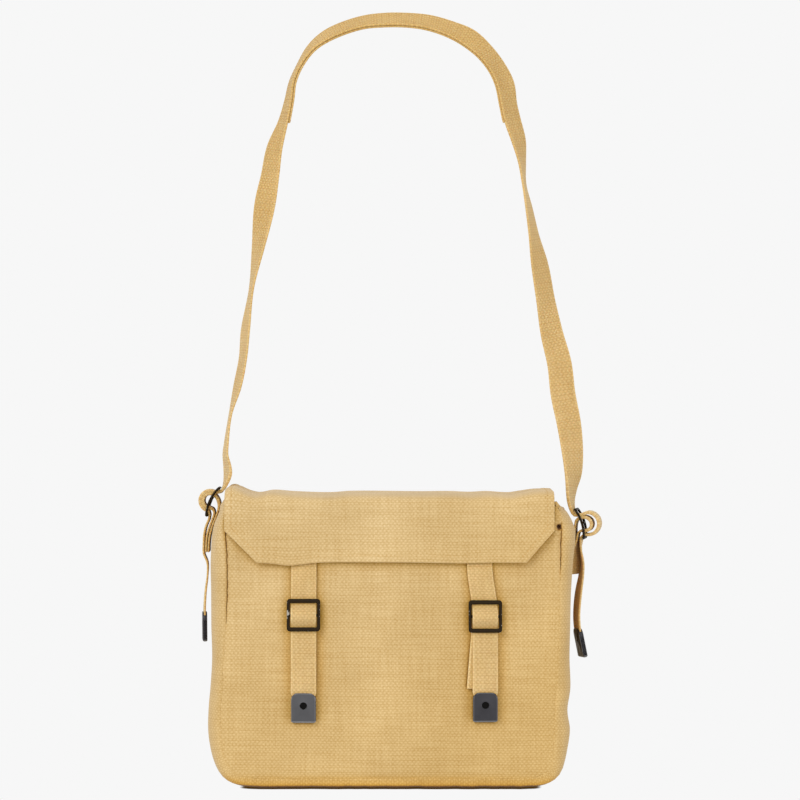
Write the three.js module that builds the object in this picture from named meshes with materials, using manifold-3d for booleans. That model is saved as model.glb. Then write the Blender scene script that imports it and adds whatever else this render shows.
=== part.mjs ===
// Canvas haversack with webbing straps, held up by the crown of its shoulder strap.
// Millimetres, +X to the right of its front, +Z up, and the front faces -Y.
// The origin is under the crown of the shoulder strap, midway between its edges.

import * as THREE from "three";
import { mergeVertices } from "three/addons/utils/BufferGeometryUtils.js";
import Module from "manifold-3d";

const wasm = await Module();
wasm.setup();

// Cloth and clearances
const CANVAS = 1.8; // thickness of the bag's canvas
const WEBBING = 1.9; // thickness of the strap webbing
const WEBBING_WIDTH = 24.2;
const CLEARANCE = 0.35; // air left between pieces that touch
const PLY = WEBBING + CLEARANCE; // from the middle of one layer of webbing to the next

// Bag
const SEAM_PLANE = 54; // the front and back seams lie this far from the middle of the bag
const PANEL_COLUMNS = 16;
const PANEL_FLATNESS = 2.6; // a higher power keeps a panel flatter and turns its edges sharper
const BACK_BELLY = 0.6; // the back stands out this much less than the front
const BASE_COLUMNS = 6;
const GUSSET_FLAT = 0.5; // the share of the gusset's width that bulges evenly
const GUSSET_ROUNDNESS = 2.2; // a higher power turns in more sharply towards the seams
const GUSSET_COLUMNS = [-1, -0.94, -0.82, -0.66, -0.5, 0, 0.5, 0.66, 0.82, 0.94, 1]; // of half its width

// From the mouth down to the bottom seam: the seams, how far the gusset stands out past them,
// and how far the front panel stands out in its middle.
const SECTIONS = [
  { z: -459, left: -165.5, right: 151.5, leftBulge: 5, rightBulge: 0, belly: 3 },
  { z: -470, left: -166, right: 153, leftBulge: 9, rightBulge: 8.5, belly: 4 },
  { z: -484, left: -166, right: 153.5, leftBulge: 14.5, rightBulge: 15.5, belly: 5 },
  { z: -513, left: -166, right: 153, leftBulge: 18, rightBulge: 14.5, belly: 7 },
  { z: -545, left: -166, right: 152.5, leftBulge: 18, rightBulge: 13, belly: 8.5 },
  { z: -577, left: -167, right: 151.5, leftBulge: 17, rightBulge: 13, belly: 9.5 },
  { z: -608, left: -168.5, right: 150, leftBulge: 15, rightBulge: 14, belly: 10 },
  { z: -637, left: -170, right: 149, leftBulge: 14, rightBulge: 16, belly: 10 },
  { z: -658, left: -171, right: 148, leftBulge: 15, rightBulge: 14, belly: 9.5 },
  { z: -676, left: -171, right: 146.5, leftBulge: 14.5, rightBulge: 18, belly: 8.5 },
  { z: -690, left: -169.5, right: 146, leftBulge: 13.5, rightBulge: 17, belly: 7 },
  { z: -703, left: -165.5, right: 145.5, leftBulge: 13, rightBulge: 14.5, belly: 5 },
  { z: -713, left: -158, right: 143, leftBulge: 12.5, rightBulge: 12.5, belly: 3 },
  { z: -719, left: -147, right: 134, leftBulge: 11, rightBulge: 11, belly: 1.2 },
  { z: -722, left: -128, right: 116, leftBulge: 10, rightBulge: 10, belly: 0 },
];

// Broad shallow hollows of the front panel, beside and below the closure straps.
const HOLLOWS = [
  { x: -134, z: -620, wide: 26, tall: 60, depth: 2.0 },
  { x: -42, z: -640, wide: 34, tall: 50, depth: 1.6 },
  { x: 28, z: -605, wide: 34, tall: 70, depth: 1.6 },
  { x: 122, z: -650, wide: 28, tall: 55, depth: 1.8 },
];

// Flap, from its hem on the back over the mouth to its hem in front. hug is how much of
// the panel's belly it follows, and crest how much of the waves of its top edge it takes.
const FLAP_COLUMNS = 18;
const FLAP = [
  { y: 56.2, z: -486, left: -160, right: 146, hug: 1, crest: 0 },
  { y: 56.2, z: -471, left: -162, right: 147, hug: 1, crest: 0 },
  { y: 56.2, z: -457.5, left: -164, right: 147.2, hug: 1, crest: 0 },
  { y: 50.5, z: -450, left: -166, right: 147.2, hug: 0.4, crest: 0.5 },
  { y: 28, z: -447.5, left: -167, right: 147.2, hug: 0, crest: 1 },
  { y: 0, z: -448, left: -167.4, right: 147.2, hug: 0, crest: 1 },
  { y: -28, z: -448, left: -167.4, right: 147.2, hug: 0, crest: 1 },
  { y: -46, z: -448.4, left: -167.4, right: 147.2, hug: 0.2, crest: 1 },
  { y: -55, z: -451.2, left: -167.4, right: 147.2, hug: 0.7, crest: 0.8 },
  { y: -58.2, z: -457.5, left: -167.4, right: 147.2, hug: 1, crest: 0.3 },
  { y: -58.6, z: -470, left: -167.4, right: 147.2, hug: 1, crest: 0 },
  { y: -58.6, z: -485, left: -167.4, right: 147.2, hug: 1, crest: 0 },
  { y: -58.6, z: -500, left: -152.4, right: 134, hug: 1, crest: 0 },
  { y: -58.8, z: -516, left: -136.7, right: 120.6, hug: 1, crest: 0 },
];

// Waves along the top edge of the flap.
const CREST = [
  { x: -168, rise: 0.5 },
  { x: -163, rise: 3.6 },
  { x: -155, rise: 2.4 },
  { x: -146, rise: -2 },
  { x: -138, rise: -4.2 },
  { x: -124, rise: -1.3 },
  { x: -104, rise: -3 },
  { x: -67, rise: -4.4 },
  { x: -50, rise: -2.8 },
  { x: 20, rise: -3.2 },
  { x: 50, rise: -3 },
  { x: 68, rise: -4 },
  { x: 84, rise: -3 },
  { x: 107, rise: -4.4 },
  { x: 117, rise: -2.4 },
  { x: 131, rise: -0.2 },
  { x: 141, rise: -0.2 },
  { x: 148, rise: -0.8 },
];

// Hardware
const BUCKLE = { width: 32, height: 31, corner: 3, side: 3.1, bar: 2.4, thick: 2.4, windowCorner: 1 };
const WIDE_BAR = 4; // the top and bottom of a closure buckle's frame
const PIN = { radius: 1.3, sides: 10 }; // the buckle's centre bar
const TIP = { width: 23.4, height: 27.6, shoulder: 6, foot: 1, wall: 0.8, slot: 2.7, floor: 1.2 };
const EYELET = { drop: 12, outer: 3.5, hole: 1.6, proud: 0.5, sides: 12 };
const STRAP_END = TIP.floor + CLEARANCE; // the webbing stops this far above the bottom of its tip
const CORNER_STEPS = 3;
const SIDE_STEPS = 4;

// Closure straps. topX, buckleX and chapeX are the strap's middle where it leaves the flap,
// at the buckle, and at the lower end of the chape.
const CLOSURES = [
  { side: "left", topX: -91.5, buckleX: -91.7, chapeX: -91.7, buckleZ: -565.2, tipZ: -667 },
  { side: "right", topX: 75.7, buckleX: 81.1, chapeX: 75.5, buckleZ: -566.5, tipZ: -666.4 },
];
const CLOSURE_TOP = -478; // the strap is sewn under the flap from here down
const CHAPE_DROP = 69; // from the buckle's middle down to the lower end of its chape
const CHAPE_REST = [46, 25, 6]; // the chape lies on the panel this far below the buckle's middle too
const ON_PANEL = CLEARANCE + WEBBING / 2; // height of a layer that lies on the panel
const ON_CHAPE = ON_PANEL + PLY; // height of a layer that lies on the chape
const CLOSURE_HEM = -516; // the strap comes out from under the flap's hem here
const TIP_LIFT = CLEARANCE + TIP.wall + TIP.slot / 2;
const PIN_LIFT = 4; // height of the buckle's centre bar over the panel
const TOP_BAR_LIFT = ON_PANEL + PLY / 2 + BUCKLE.thick / 2 + CLEARANCE / 2;
const BOTTOM_BAR_LIFT = TOP_BAR_LIFT + PLY;

// The closure strap's way through its buckle: above is measured up from the centre bar.
const TUCK = [
  { above: 17, lift: ON_PANEL },
  { above: 11.5, lift: ON_PANEL },
  { above: 8.5, lift: 2.6 },
  { above: 5.6, lift: 5.3 },
  { above: 3.2, lift: 7.8 },
  { above: 0, lift: 8.9 },
  { above: -3.2, lift: 8.3 },
  { above: -5.8, lift: 6.3 },
  { above: -8.6, lift: 4.4 },
  { above: -11.8, lift: ON_CHAPE },
  { above: -17, lift: ON_CHAPE },
];

// The chape's loop round that bar, from behind it over its top to its front.
const LOOP_RADIUS = PIN.radius + CLEARANCE + WEBBING / 2;
const LOOP_TURNS = [-90, -45, 0, 45, 90, 130]; // degrees, up from straight behind the bar

// Side buckles: the middle of the frame before its bow, how far it leans from upright with its
// top towards the bag, in degrees, and which way it faces.
const SIDE_BOW = 3; // the side frames are bent outwards this much in their middle
const SIDE_BUCKLES = [
  { side: "left", x: -180.9, z: -459.3, lean: 24.4, out: -1 },
  { side: "right", x: 174.85, z: -480.6, lean: 16.5, out: 1 },
];

// Side chapes: from the sewn end up the gusset, round the centre bar, and back down.
const SIDE_CHAPES = {
  left: [
    { x: -185.2, z: -508 },
    { x: -184.9, z: -500 },
    { x: -183.9, z: -491.5 },
    { x: -181.9, z: -484 },
    { x: -178.9, z: -476 },
    { x: -176.3, z: -469 },
    { x: -175.4, z: -463.5 },
    { x: -176.4, z: -458 },
    { x: -179.4, z: -453.6 },
    { x: -184, z: -451.9 },
    { x: -188.4, z: -453.9 },
    { x: -190, z: -458.3 },
    { x: -188.3, z: -462.6 },
    { x: -184.5, z: -464.4 },
    { x: -181, z: -466 },
    { x: -179.6, z: -470 },
    { x: -181.5, z: -476.4 },
    { x: -184.5, z: -484.6 },
    { x: -186.6, z: -492.2 },
    { x: -187.3, z: -500.2 },
    { x: -187.6, z: -508 },
  ],
  right: [
    { x: 168.2, z: -529.6 },
    { x: 168.9, z: -515 },
    { x: 169.8, z: -500 },
    { x: 170.4, z: -490 },
    { x: 170.7, z: -482.5 },
    { x: 172.2, z: -477.6 },
    { x: 176.4, z: -475 },
    { x: 181.4, z: -475 },
    { x: 185, z: -477.6 },
    { x: 186, z: -481.4 },
    { x: 184.4, z: -484.9 },
    { x: 180.6, z: -486.6 },
    { x: 176.8, z: -486.8 },
    { x: 174.1, z: -488.6 },
    { x: 172.8, z: -493 },
    { x: 172.1, z: -500.4 },
    { x: 171.2, z: -515 },
    { x: 170.5, z: -529.6 },
  ],
};

// Shoulder strap, from the left tip through the left buckle, over the crown and through the
// right buckle to the right tip. turn is 0 where the strap shows its edge to the front and 90
// where it shows its outer face.
const LEFT_TAIL = [
  { x: -189.3, z: -593.6 + STRAP_END, turn: 5 },
  { x: -189.4, z: -581, turn: 5 },
  { x: -189.5, z: -568.4, turn: 5 },
  { x: -189.4, z: -559, turn: 5 },
  { x: -188.4, z: -545.1, turn: 4 },
  { x: -186.6, z: -530.6, turn: 3 },
  { x: -186.6, z: -518, turn: 2 },
  { x: -189.9, z: -509.5, turn: 1 },
  { x: -189.9, z: -500, turn: 0 },
  { x: -189.3, z: -490, turn: 0 },
  { x: -187.4, z: -482, turn: 0 },
  { x: -184.8, z: -476, turn: 0 },
  { x: -184.1, z: -471.8, turn: 0 },
];
const LEFT_BIGHT = [
  { x: -185.4, z: -468.7, turn: 0 },
  { x: -188.9, z: -467.3, turn: 0 },
  { x: -192.7, z: -463.2, turn: 0 },
  { x: -194, z: -457.8, turn: 0 },
  { x: -192.5, z: -452.6, turn: 0 },
  { x: -188.2, z: -448.7, turn: 0 },
  { x: -182.8, z: -448.2, turn: 0 },
  { x: -177.6, z: -449.7, turn: 0 },
  { x: -173.4, z: -448.6, turn: 1 },
];
const LEFT_ARM = [
  { x: -171.1, z: -445, turn: 4 },
  { x: -169.3, z: -440, turn: 9 },
  { x: -167.7, z: -433, turn: 16 },
  { x: -167.8, z: -425, turn: 17 },
  { x: -169.3, z: -414, turn: 13 },
  { x: -168.3, z: -401.6, turn: 10 },
  { x: -164.4, z: -374.4, turn: 7 },
  { x: -157.6, z: -347.3, turn: 19 },
  { x: -152.3, z: -320.1, turn: 19 },
  { x: -149.9, z: -292.9, turn: 21 },
  { x: -144, z: -252.2, turn: 11 },
  { x: -137.3, z: -211.5, turn: 32 },
  { x: -131, z: -170.7, turn: 58 },
  { x: -126.1, z: -143.6, turn: 48 },
  { x: -121.7, z: -116.4, turn: 40 },
];
const PADDED_CROWN = [
  { x: -113.5, z: -91.2, turn: 24 },
  { x: -108.4, z: -69.8, turn: 17 },
  { x: -105.2, z: -52.4, turn: 12 },
  { x: -98, z: -35.9, turn: 11 },
  { x: -86.3, z: -18.4, turn: 19 },
  { x: -69.8, z: -5.8, turn: 28 },
  { x: -38.8, z: 5.8, turn: 31 },
  { x: -14.6, z: 8.7, turn: 34 },
  { x: 9.7, z: 8.4, turn: 35 },
  { x: 29.1, z: 5.8, turn: 38 },
  { x: 50.4, z: -1, turn: 42 },
  { x: 67.9, z: -9.7, turn: 50 },
  { x: 83.4, z: -23.3, turn: 44 },
  { x: 95.1, z: -38.8, turn: 43 },
  { x: 102.3, z: -54.3, turn: 46 },
  { x: 105.7, z: -73.7, turn: 41 },
  { x: 109.4, z: -90.2, turn: 42 },
];
const RIGHT_ARM = [
  { x: 114.9, z: -108.6, turn: 36 },
  { x: 118.3, z: -130, turn: 18 },
  { x: 120.3, z: -150.4, turn: 9 },
  { x: 125.1, z: -174.6, turn: 16 },
  { x: 130, z: -201.8, turn: 25 },
  { x: 135.8, z: -230.9, turn: 44 },
  { x: 141.6, z: -265.8, turn: 50 },
  { x: 147.4, z: -296.8, turn: 66 },
  { x: 154.7, z: -325.9, turn: 80 },
  { x: 158.1, z: -355, turn: 86 },
  { x: 163.9, z: -384.1, turn: 77 },
  { x: 167.3, z: -411.3, turn: 60 },
  { x: 168.3, z: -432.6, turn: 42 },
  { x: 166.9, z: -447, turn: 22 },
  { x: 166.4, z: -457.8, turn: 8 },
];
const RIGHT_BIGHT = [
  { x: 168, z: -467.4, turn: 1 },
  { x: 170.7, z: -471.5, turn: 0 },
  { x: 175.1, z: -471.7, turn: 0 },
  { x: 178.9, z: -470.1, turn: 0 },
  { x: 183, z: -468.9, turn: 0 },
  { x: 188.6, z: -470.5, turn: 0 },
  { x: 192.8, z: -474.7, turn: 0 },
  { x: 194.3, z: -480.5, turn: 0 },
  { x: 192.7, z: -486.3, turn: 0 },
  { x: 188.5, z: -490.5, turn: 0 },
  { x: 182.9, z: -491.6, turn: 0 },
  { x: 179.2, z: -490.6, turn: 0 },
];
const RIGHT_TAIL = [
  { x: 176.5, z: -493.4, turn: 0 },
  { x: 175.8, z: -498.5, turn: 0 },
  { x: 175.3, z: -506, turn: -1 },
  { x: 176.8, z: -519, turn: -3 },
  { x: 175.9, z: -530.6, turn: -6 },
  { x: 173, z: -549, turn: -10 },
  { x: 171.4, z: -568.4, turn: -10 },
  { x: 172, z: -581, turn: -10 },
  { x: 173.7, z: -590.5, turn: -10 },
  { x: 175.4, z: -599.1, turn: -10 },
  { x: 177.1, z: -607.7, turn: -10 },
];
const STRAP = [
  ...LEFT_TAIL,
  ...LEFT_BIGHT,
  ...LEFT_ARM,
  ...PADDED_CROWN,
  ...RIGHT_ARM,
  ...RIGHT_BIGHT,
  ...RIGHT_TAIL,
];
const PAD_FIRST = STRAP.indexOf(PADDED_CROWN[0]);
const PAD_LAST = STRAP.indexOf(PADDED_CROWN.at(-1));
const WEBBING_STEPS = 2; // stations from one row of a table to the next
const LYING_COLUMNS = 2; // webbing that lies on the panel bends with it this many times across

// Finishes
const canvas = new THREE.MeshStandardMaterial({ color: 0xdcbd85, roughness: 0.95, metalness: 0 });
const webbing = new THREE.MeshStandardMaterial({ color: 0xd8b678, roughness: 0.92, metalness: 0 });
const blackPaint = new THREE.MeshStandardMaterial({ color: 0x2e2a22, roughness: 0.45, metalness: 0.4 });
const gunmetal = new THREE.MeshStandardMaterial({ color: 0x5a5a5c, roughness: 0.42, metalness: 0.8 });

const haversack = new THREE.Group();
const Y_AXIS = new THREE.Vector3(0, 1, 0);

function point(x, y, z) {
  return new THREE.Vector3(x, y, z);
}

function addMesh(name, geometry, material) {
  const mesh = new THREE.Mesh(geometry, material);
  mesh.name = name;
  haversack.add(mesh);
  return mesh;
}

// A value of a table's column between two rows, where the rows are ordered by another column.
function between(rows, order, at, column) {
  const rising = rows.at(-1)[order] > rows[0][order];
  const past = rows.findIndex((row) => (rising ? row[order] >= at : row[order] <= at));
  if (past === 0) return rows[0][column];
  if (past < 0) return rows.at(-1)[column];
  const [low, high] = [rows[past - 1], rows[past]];
  const share = (at - low[order]) / (high[order] - low[order]);
  return THREE.MathUtils.lerp(low[column], high[column], share);
}

// Six times the volume inside the triangles, which is negative where they face inwards.
function signedVolume(positions, triangles) {
  const corners = triangles.map((i) => point(...positions.slice(3 * i, 3 * i + 3)));
  let sum = 0;
  for (let i = 0; i < corners.length; i += 3) {
    sum += corners[i].dot(corners[i + 1].clone().cross(corners[i + 2]));
  }
  return sum;
}

// A closed wall between two grids of points of the same size.
function wall(outer, inner) {
  const rows = outer.length;
  const columns = outer[0].length;
  const positions = [...outer.flat(), ...inner.flat()].flatMap((p) => [p.x, p.y, p.z]);
  const at = (side, row, column) => (side * rows + row) * columns + column;
  const triangles = [];
  const quad = (a, b, c, d) => triangles.push(a, b, c, a, c, d);
  const rim = [];
  for (let r = 0; r < rows - 1; r++) rim.push([r, 0]);
  for (let c = 0; c < columns - 1; c++) rim.push([rows - 1, c]);
  for (let r = rows - 1; r > 0; r--) rim.push([r, columns - 1]);
  for (let c = columns - 1; c > 0; c--) rim.push([0, c]);
  for (let r = 0; r < rows - 1; r++) {
    for (let c = 0; c < columns - 1; c++) {
      quad(at(0, r, c), at(0, r + 1, c), at(0, r + 1, c + 1), at(0, r, c + 1));
      quad(at(1, r, c), at(1, r, c + 1), at(1, r + 1, c + 1), at(1, r + 1, c));
    }
  }
  rim.forEach((here, i) => {
    const next = rim[(i + 1) % rim.length];
    quad(at(0, ...next), at(0, ...here), at(1, ...here), at(1, ...next));
  });
  if (signedVolume(positions, triangles) < 0) triangles.reverse();
  return new THREE.BufferGeometry()
    .setAttribute("position", new THREE.Float32BufferAttribute(positions, 3))
    .setIndex(triangles);
}

function grid(rows, columns, pointAt) {
  const row = (r) => Array.from({ length: columns }, (_, c) => pointAt(r, c));
  return Array.from({ length: rows }, (_, r) => row(r));
}

// The grid moved by a distance along its own surface's normals.
function offsetGrid(outer, distance) {
  const last = { row: outer.length - 1, column: outer[0].length - 1 };
  return grid(outer.length, outer[0].length, (r, c) => {
    const alongRows = outer[Math.min(r + 1, last.row)][c].clone().sub(outer[Math.max(r - 1, 0)][c]);
    const alongColumns = outer[r][Math.min(c + 1, last.column)].clone().sub(outer[r][Math.max(c - 1, 0)]);
    return outer[r][c].clone().addScaledVector(alongRows.cross(alongColumns).normalize(), distance);
  });
}

// How far a panel stands out from the plane of its seam.
function belly(x, z) {
  const left = between(SECTIONS, "z", z, "left");
  const right = between(SECTIONS, "z", z, "right");
  const across = THREE.MathUtils.clamp((2 * (x - left)) / (right - left) - 1, -1, 1);
  return between(SECTIONS, "z", z, "belly") * (1 - Math.abs(across) ** PANEL_FLATNESS);
}

function hollow(x, z) {
  const depths = HOLLOWS.map((h) => {
    const away = ((x - h.x) / h.wide) ** 2 + ((z - h.z) / h.tall) ** 2;
    return h.depth * Math.exp(-away);
  });
  return depths.reduce((sum, depth) => sum + depth, 0);
}

// y of the outside of the front panel.
function frontFace(x, z) {
  return -(SEAM_PLANE + Math.max(belly(x, z) - hollow(x, z), 0));
}

function backFace(x, z) {
  return SEAM_PLANE + BACK_BELLY * belly(x, z);
}

// y of the front panel's own facets, which what lies on the panel follows.
function frontSkin(x, z) {
  const past = SECTIONS.findIndex((section) => section.z <= z);
  const rows = past > 0 ? [SECTIONS[past - 1], SECTIONS[past]] : [SECTIONS[0], SECTIONS[1]];
  const columnsFromLeft = (row) => ((x - row.left) / (row.right - row.left)) * PANEL_COLUMNS;
  const heights = rows.map((row) => {
    const first = THREE.MathUtils.clamp(Math.floor(columnsFromLeft(row)), 0, PANEL_COLUMNS - 1);
    const xOf = (column) => THREE.MathUtils.lerp(row.left, row.right, column / PANEL_COLUMNS);
    const corners = [first, first + 1].map((column) => frontFace(xOf(column), row.z));
    return THREE.MathUtils.lerp(...corners, columnsFromLeft(row) - first);
  });
  return THREE.MathUtils.mapLinear(z, rows[0].z, rows[1].z, ...heights);
}

function panel(face, inward) {
  const outer = grid(SECTIONS.length, PANEL_COLUMNS + 1, (r, c) => {
    const { z, left, right } = SECTIONS[r];
    const x = THREE.MathUtils.lerp(left, right, c / PANEL_COLUMNS);
    return point(x, face(x, z), z);
  });
  const inner = outer.map((row) => row.map((p) => p.clone().addScaledVector(Y_AXIS, inward * CANVAS)));
  return wall(outer, inner);
}

// One strip down the left side, under the bottom and up the right side.
function gusset() {
  const bottom = SECTIONS.at(-1);
  const base = Array.from({ length: BASE_COLUMNS - 1 }, (_, i) => {
    const x = THREE.MathUtils.lerp(bottom.left, bottom.right, (i + 1) / BASE_COLUMNS);
    return { x, z: bottom.z, bulge: bottom.leftBulge };
  });
  const stations = [
    ...SECTIONS.map((s) => ({ x: s.left, z: s.z, bulge: s.leftBulge })),
    ...base,
    ...SECTIONS.toReversed().map((s) => ({ x: s.right, z: s.z, bulge: s.rightBulge })),
  ];
  const halfWidth = SEAM_PLANE - CANVAS - CLEARANCE;
  const surface = (depth) =>
    grid(stations.length, GUSSET_COLUMNS.length, (r, c) => {
      const here = stations[r];
      const before = stations[Math.max(r - 1, 0)];
      const after = stations[Math.min(r + 1, stations.length - 1)];
      const outward = point(after.z - before.z, 0, before.x - after.x).normalize();
      const across = GUSSET_COLUMNS[c];
      const edge = Math.max(Math.abs(across) - GUSSET_FLAT, 0) / (1 - GUSSET_FLAT);
      const stand = here.bulge * (1 - edge ** GUSSET_ROUNDNESS) - depth;
      return point(here.x, halfWidth * across, here.z).addScaledVector(outward, stand);
    });
  return wall(surface(0), surface(CANVAS));
}

function flap() {
  const outer = grid(FLAP.length, FLAP_COLUMNS + 1, (r, c) => {
    const section = FLAP[r];
    const x = THREE.MathUtils.lerp(section.left, section.right, c / FLAP_COLUMNS);
    const z = section.z + section.crest * between(CREST, "x", x, "rise");
    const stand = section.y > 0 ? BACK_BELLY * belly(x, z) : -belly(x, z);
    return point(x, section.y + section.hug * stand, z);
  });
  return wall(outer, offsetGrid(outer, -CANVAS));
}

// A band of webbing along a route of rows { x, z, turn }, from one row to another. shift moves
// it off the route towards its outer face.
function band(route, from = 0, to = route.length - 1, shift = 0) {
  const curve = new THREE.CatmullRomCurve3(route.map((row) => point(row.x, 0, row.z)));
  const stations = (to - from) * WEBBING_STEPS + 1;
  const layer = (height) =>
    grid(stations, 2, (r, c) => {
      const place = from + r / WEBBING_STEPS;
      const low = route[Math.floor(place)];
      const high = route[Math.min(Math.floor(place) + 1, route.length - 1)];
      const turn = THREE.MathUtils.degToRad(THREE.MathUtils.lerp(low.turn ?? 0, high.turn ?? 0, place % 1));
      const share = place / (route.length - 1);
      const outward = curve.getTangent(share).cross(Y_AXIS).normalize();
      const [cos, sin] = [Math.cos(turn), Math.sin(turn)];
      const across = Y_AXIS.clone().multiplyScalar(-cos).addScaledVector(outward, -sin);
      const faceNormal = outward.multiplyScalar(cos).addScaledVector(Y_AXIS, -sin);
      const side = (c - 0.5) * WEBBING_WIDTH;
      const middle = curve.getPoint(share).addScaledVector(faceNormal, height + shift);
      return middle.addScaledVector(across, side);
    });
  return wall(layer(WEBBING / 2), layer(-WEBBING / 2));
}

// Webbing that lies on a surface y = skin(x, z): rows of { z, lift }, and the x of its middle
// at a z.
function bandOnSkin(profile, middleAt, skin) {
  const curve = new THREE.CatmullRomCurve3(profile.map((row) => point(0, -row.lift, row.z)));
  const stations = (profile.length - 1) * WEBBING_STEPS + 1;
  const layer = (height) =>
    grid(stations, LYING_COLUMNS + 1, (r, c) => {
      const share = r / (stations - 1);
      const normal = curve.getTangent(share).cross(point(1, 0, 0)).normalize();
      const p = curve.getPoint(share).addScaledVector(normal, height);
      const x = middleAt(p.z) + (c / LYING_COLUMNS - 0.5) * WEBBING_WIDTH;
      return point(x, skin(x, p.z) + p.y, p.z);
    });
  return wall(layer(WEBBING / 2), layer(-WEBBING / 2));
}

// A rectangle with rounded corners, centred, with spare points along its upright sides.
function roundedOutline(width, height, radius) {
  const corners = [
    { x: 1, z: 1, from: 0 },
    { x: -1, z: 1, from: 90 },
    { x: -1, z: -1, from: 180 },
    { x: 1, z: -1, from: 270 },
  ];
  const points = [];
  for (const corner of corners) {
    const centre = { x: corner.x * (width / 2 - radius), z: corner.z * (height / 2 - radius) };
    for (let i = 0; i <= CORNER_STEPS; i++) {
      const angle = THREE.MathUtils.degToRad(corner.from + (90 * i) / CORNER_STEPS);
      const [x, z] = [centre.x + radius * Math.cos(angle), centre.z + radius * Math.sin(angle)];
      points.push(new THREE.Vector2(x, z));
    }
  }
  return points;
}

// The outline with its long edges cut into short ones, so that it can be bent.
function subdivided(points, longest) {
  return points.flatMap((start, i) => {
    const end = points[(i + 1) % points.length];
    const steps = Math.max(1, Math.ceil(start.distanceTo(end) / longest));
    return Array.from({ length: steps }, (_, k) => start.clone().lerp(end, k / steps));
  });
}

function solidOf(geometry) {
  const bare = geometry.clone();
  bare.deleteAttribute("normal");
  bare.deleteAttribute("uv");
  const merged = mergeVertices(bare, 1e-4);
  const vertProperties = merged.attributes.position.array;
  const triVerts = new Uint32Array(merged.index.array);
  return new wasm.Manifold(new wasm.Mesh({ numProp: 3, vertProperties, triVerts }));
}

function geometryOf(solid) {
  const { vertProperties, triVerts } = solid.getMesh();
  return new THREE.BufferGeometry()
    .setAttribute("position", new THREE.BufferAttribute(vertProperties, 3))
    .setIndex(new THREE.BufferAttribute(triVerts, 1));
}

// An outline in X and Z made a plate that is centred on Y = 0.
function plate(outline, thickness, holes = []) {
  const shape = new THREE.Shape(outline);
  shape.holes = holes.map((hole) => new THREE.Path(hole));
  return new THREE.ExtrudeGeometry(shape, { depth: thickness, bevelEnabled: false })
    .translate(0, 0, -thickness / 2)
    .rotateX(Math.PI / 2);
}

// Square frame with a centre bar. Its width is X, its height Z, and it faces -Y.
function buckle(bow, setBack, bar) {
  const { width, height, corner, side, thick, windowCorner } = BUCKLE;
  const longest = height / SIDE_STEPS / 2;
  const outline = subdivided(roundedOutline(width, height, corner), longest);
  const window = subdivided(roundedOutline(width - 2 * side, height - 2 * bar, windowCorner), longest);
  const frame = plate(outline, thick, [window]);
  const position = frame.attributes.position;
  for (let i = 0; i < position.count; i++) {
    const fromMiddle = position.getZ(i) / (height / 2);
    position.setY(i, position.getY(i) - bow * (1 - fromMiddle ** 2));
  }
  const centreBar = new THREE.CylinderGeometry(PIN.radius, PIN.radius, width - side, PIN.sides)
    .rotateZ(Math.PI / 2)
    .translate(0, setBack - bow, 0);
  return geometryOf(solidOf(frame).add(solidOf(centreBar)));
}

// Sheet metal folded round the end of a strap, open at the top and the sides. It stands on Z = 0.
function strapTip() {
  const { width, height, shoulder, foot, wall: sheet, slot, floor } = TIP;
  const thick = slot + 2 * sheet;
  const outline = new THREE.Shape()
    .moveTo(-width / 2 + foot, 0)
    .lineTo(width / 2 - foot, 0)
    .lineTo(width / 2, foot)
    .lineTo(width / 2, height - shoulder)
    .quadraticCurveTo(width / 2, height, width / 2 - shoulder, height)
    .lineTo(-width / 2 + shoulder, height)
    .quadraticCurveTo(-width / 2, height, -width / 2, height - shoulder)
    .lineTo(-width / 2, foot)
    .getPoints(CORNER_STEPS);
  const opening = new THREE.BoxGeometry(2 * width, slot, height).translate(0, 0, height / 2 + floor);
  const eyelet = point(0, -thick / 2, height - EYELET.drop);
  const hole = new THREE.CylinderGeometry(EYELET.hole, EYELET.hole, thick, EYELET.sides)
    .translate(...eyelet);
  const section = [
    [EYELET.hole, -sheet / 2],
    [EYELET.outer, -sheet / 2],
    [EYELET.outer - EYELET.proud, EYELET.proud],
    [EYELET.hole, EYELET.proud],
    [EYELET.hole, -sheet / 2],
  ];
  const ring = new THREE.LatheGeometry(section.map(([r, h]) => new THREE.Vector2(r, h)), EYELET.sides)
    .rotateX(Math.PI)
    .translate(...eyelet);
  const body = solidOf(plate(outline, thick)).subtract(solidOf(opening)).subtract(solidOf(hole));
  return geometryOf(body.add(solidOf(ring)));
}

// Sets a mesh so that its own +Z points up the given way and its -Y the outward way.
function place(mesh, origin, up, outward) {
  const inward = outward.clone().negate().addScaledVector(up, outward.dot(up)).normalize();
  const across = inward.clone().cross(up).normalize();
  mesh.quaternion.setFromRotationMatrix(new THREE.Matrix4().makeBasis(across, inward, up));
  mesh.position.copy(origin);
}

// How steeply the panel falls away across a strap's width.
function slopeAcross(x, z) {
  return (frontSkin(x + WEBBING_WIDTH / 2, z) - frontSkin(x - WEBBING_WIDTH / 2, z)) / WEBBING_WIDTH;
}

// The flat plane that a strap's tip lies on.
function tipPlane(middleX, tipZ) {
  const [low, high] = [tipZ, tipZ + TIP.height];
  const slope = (slopeAcross(middleX, low) + slopeAcross(middleX, high)) / 2;
  const ends = [frontSkin(middleX, low), frontSkin(middleX, high)];
  const y = (x, z) => THREE.MathUtils.mapLinear(z, low, high, ...ends) + slope * (x - middleX);
  return { slope, y };
}

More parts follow.
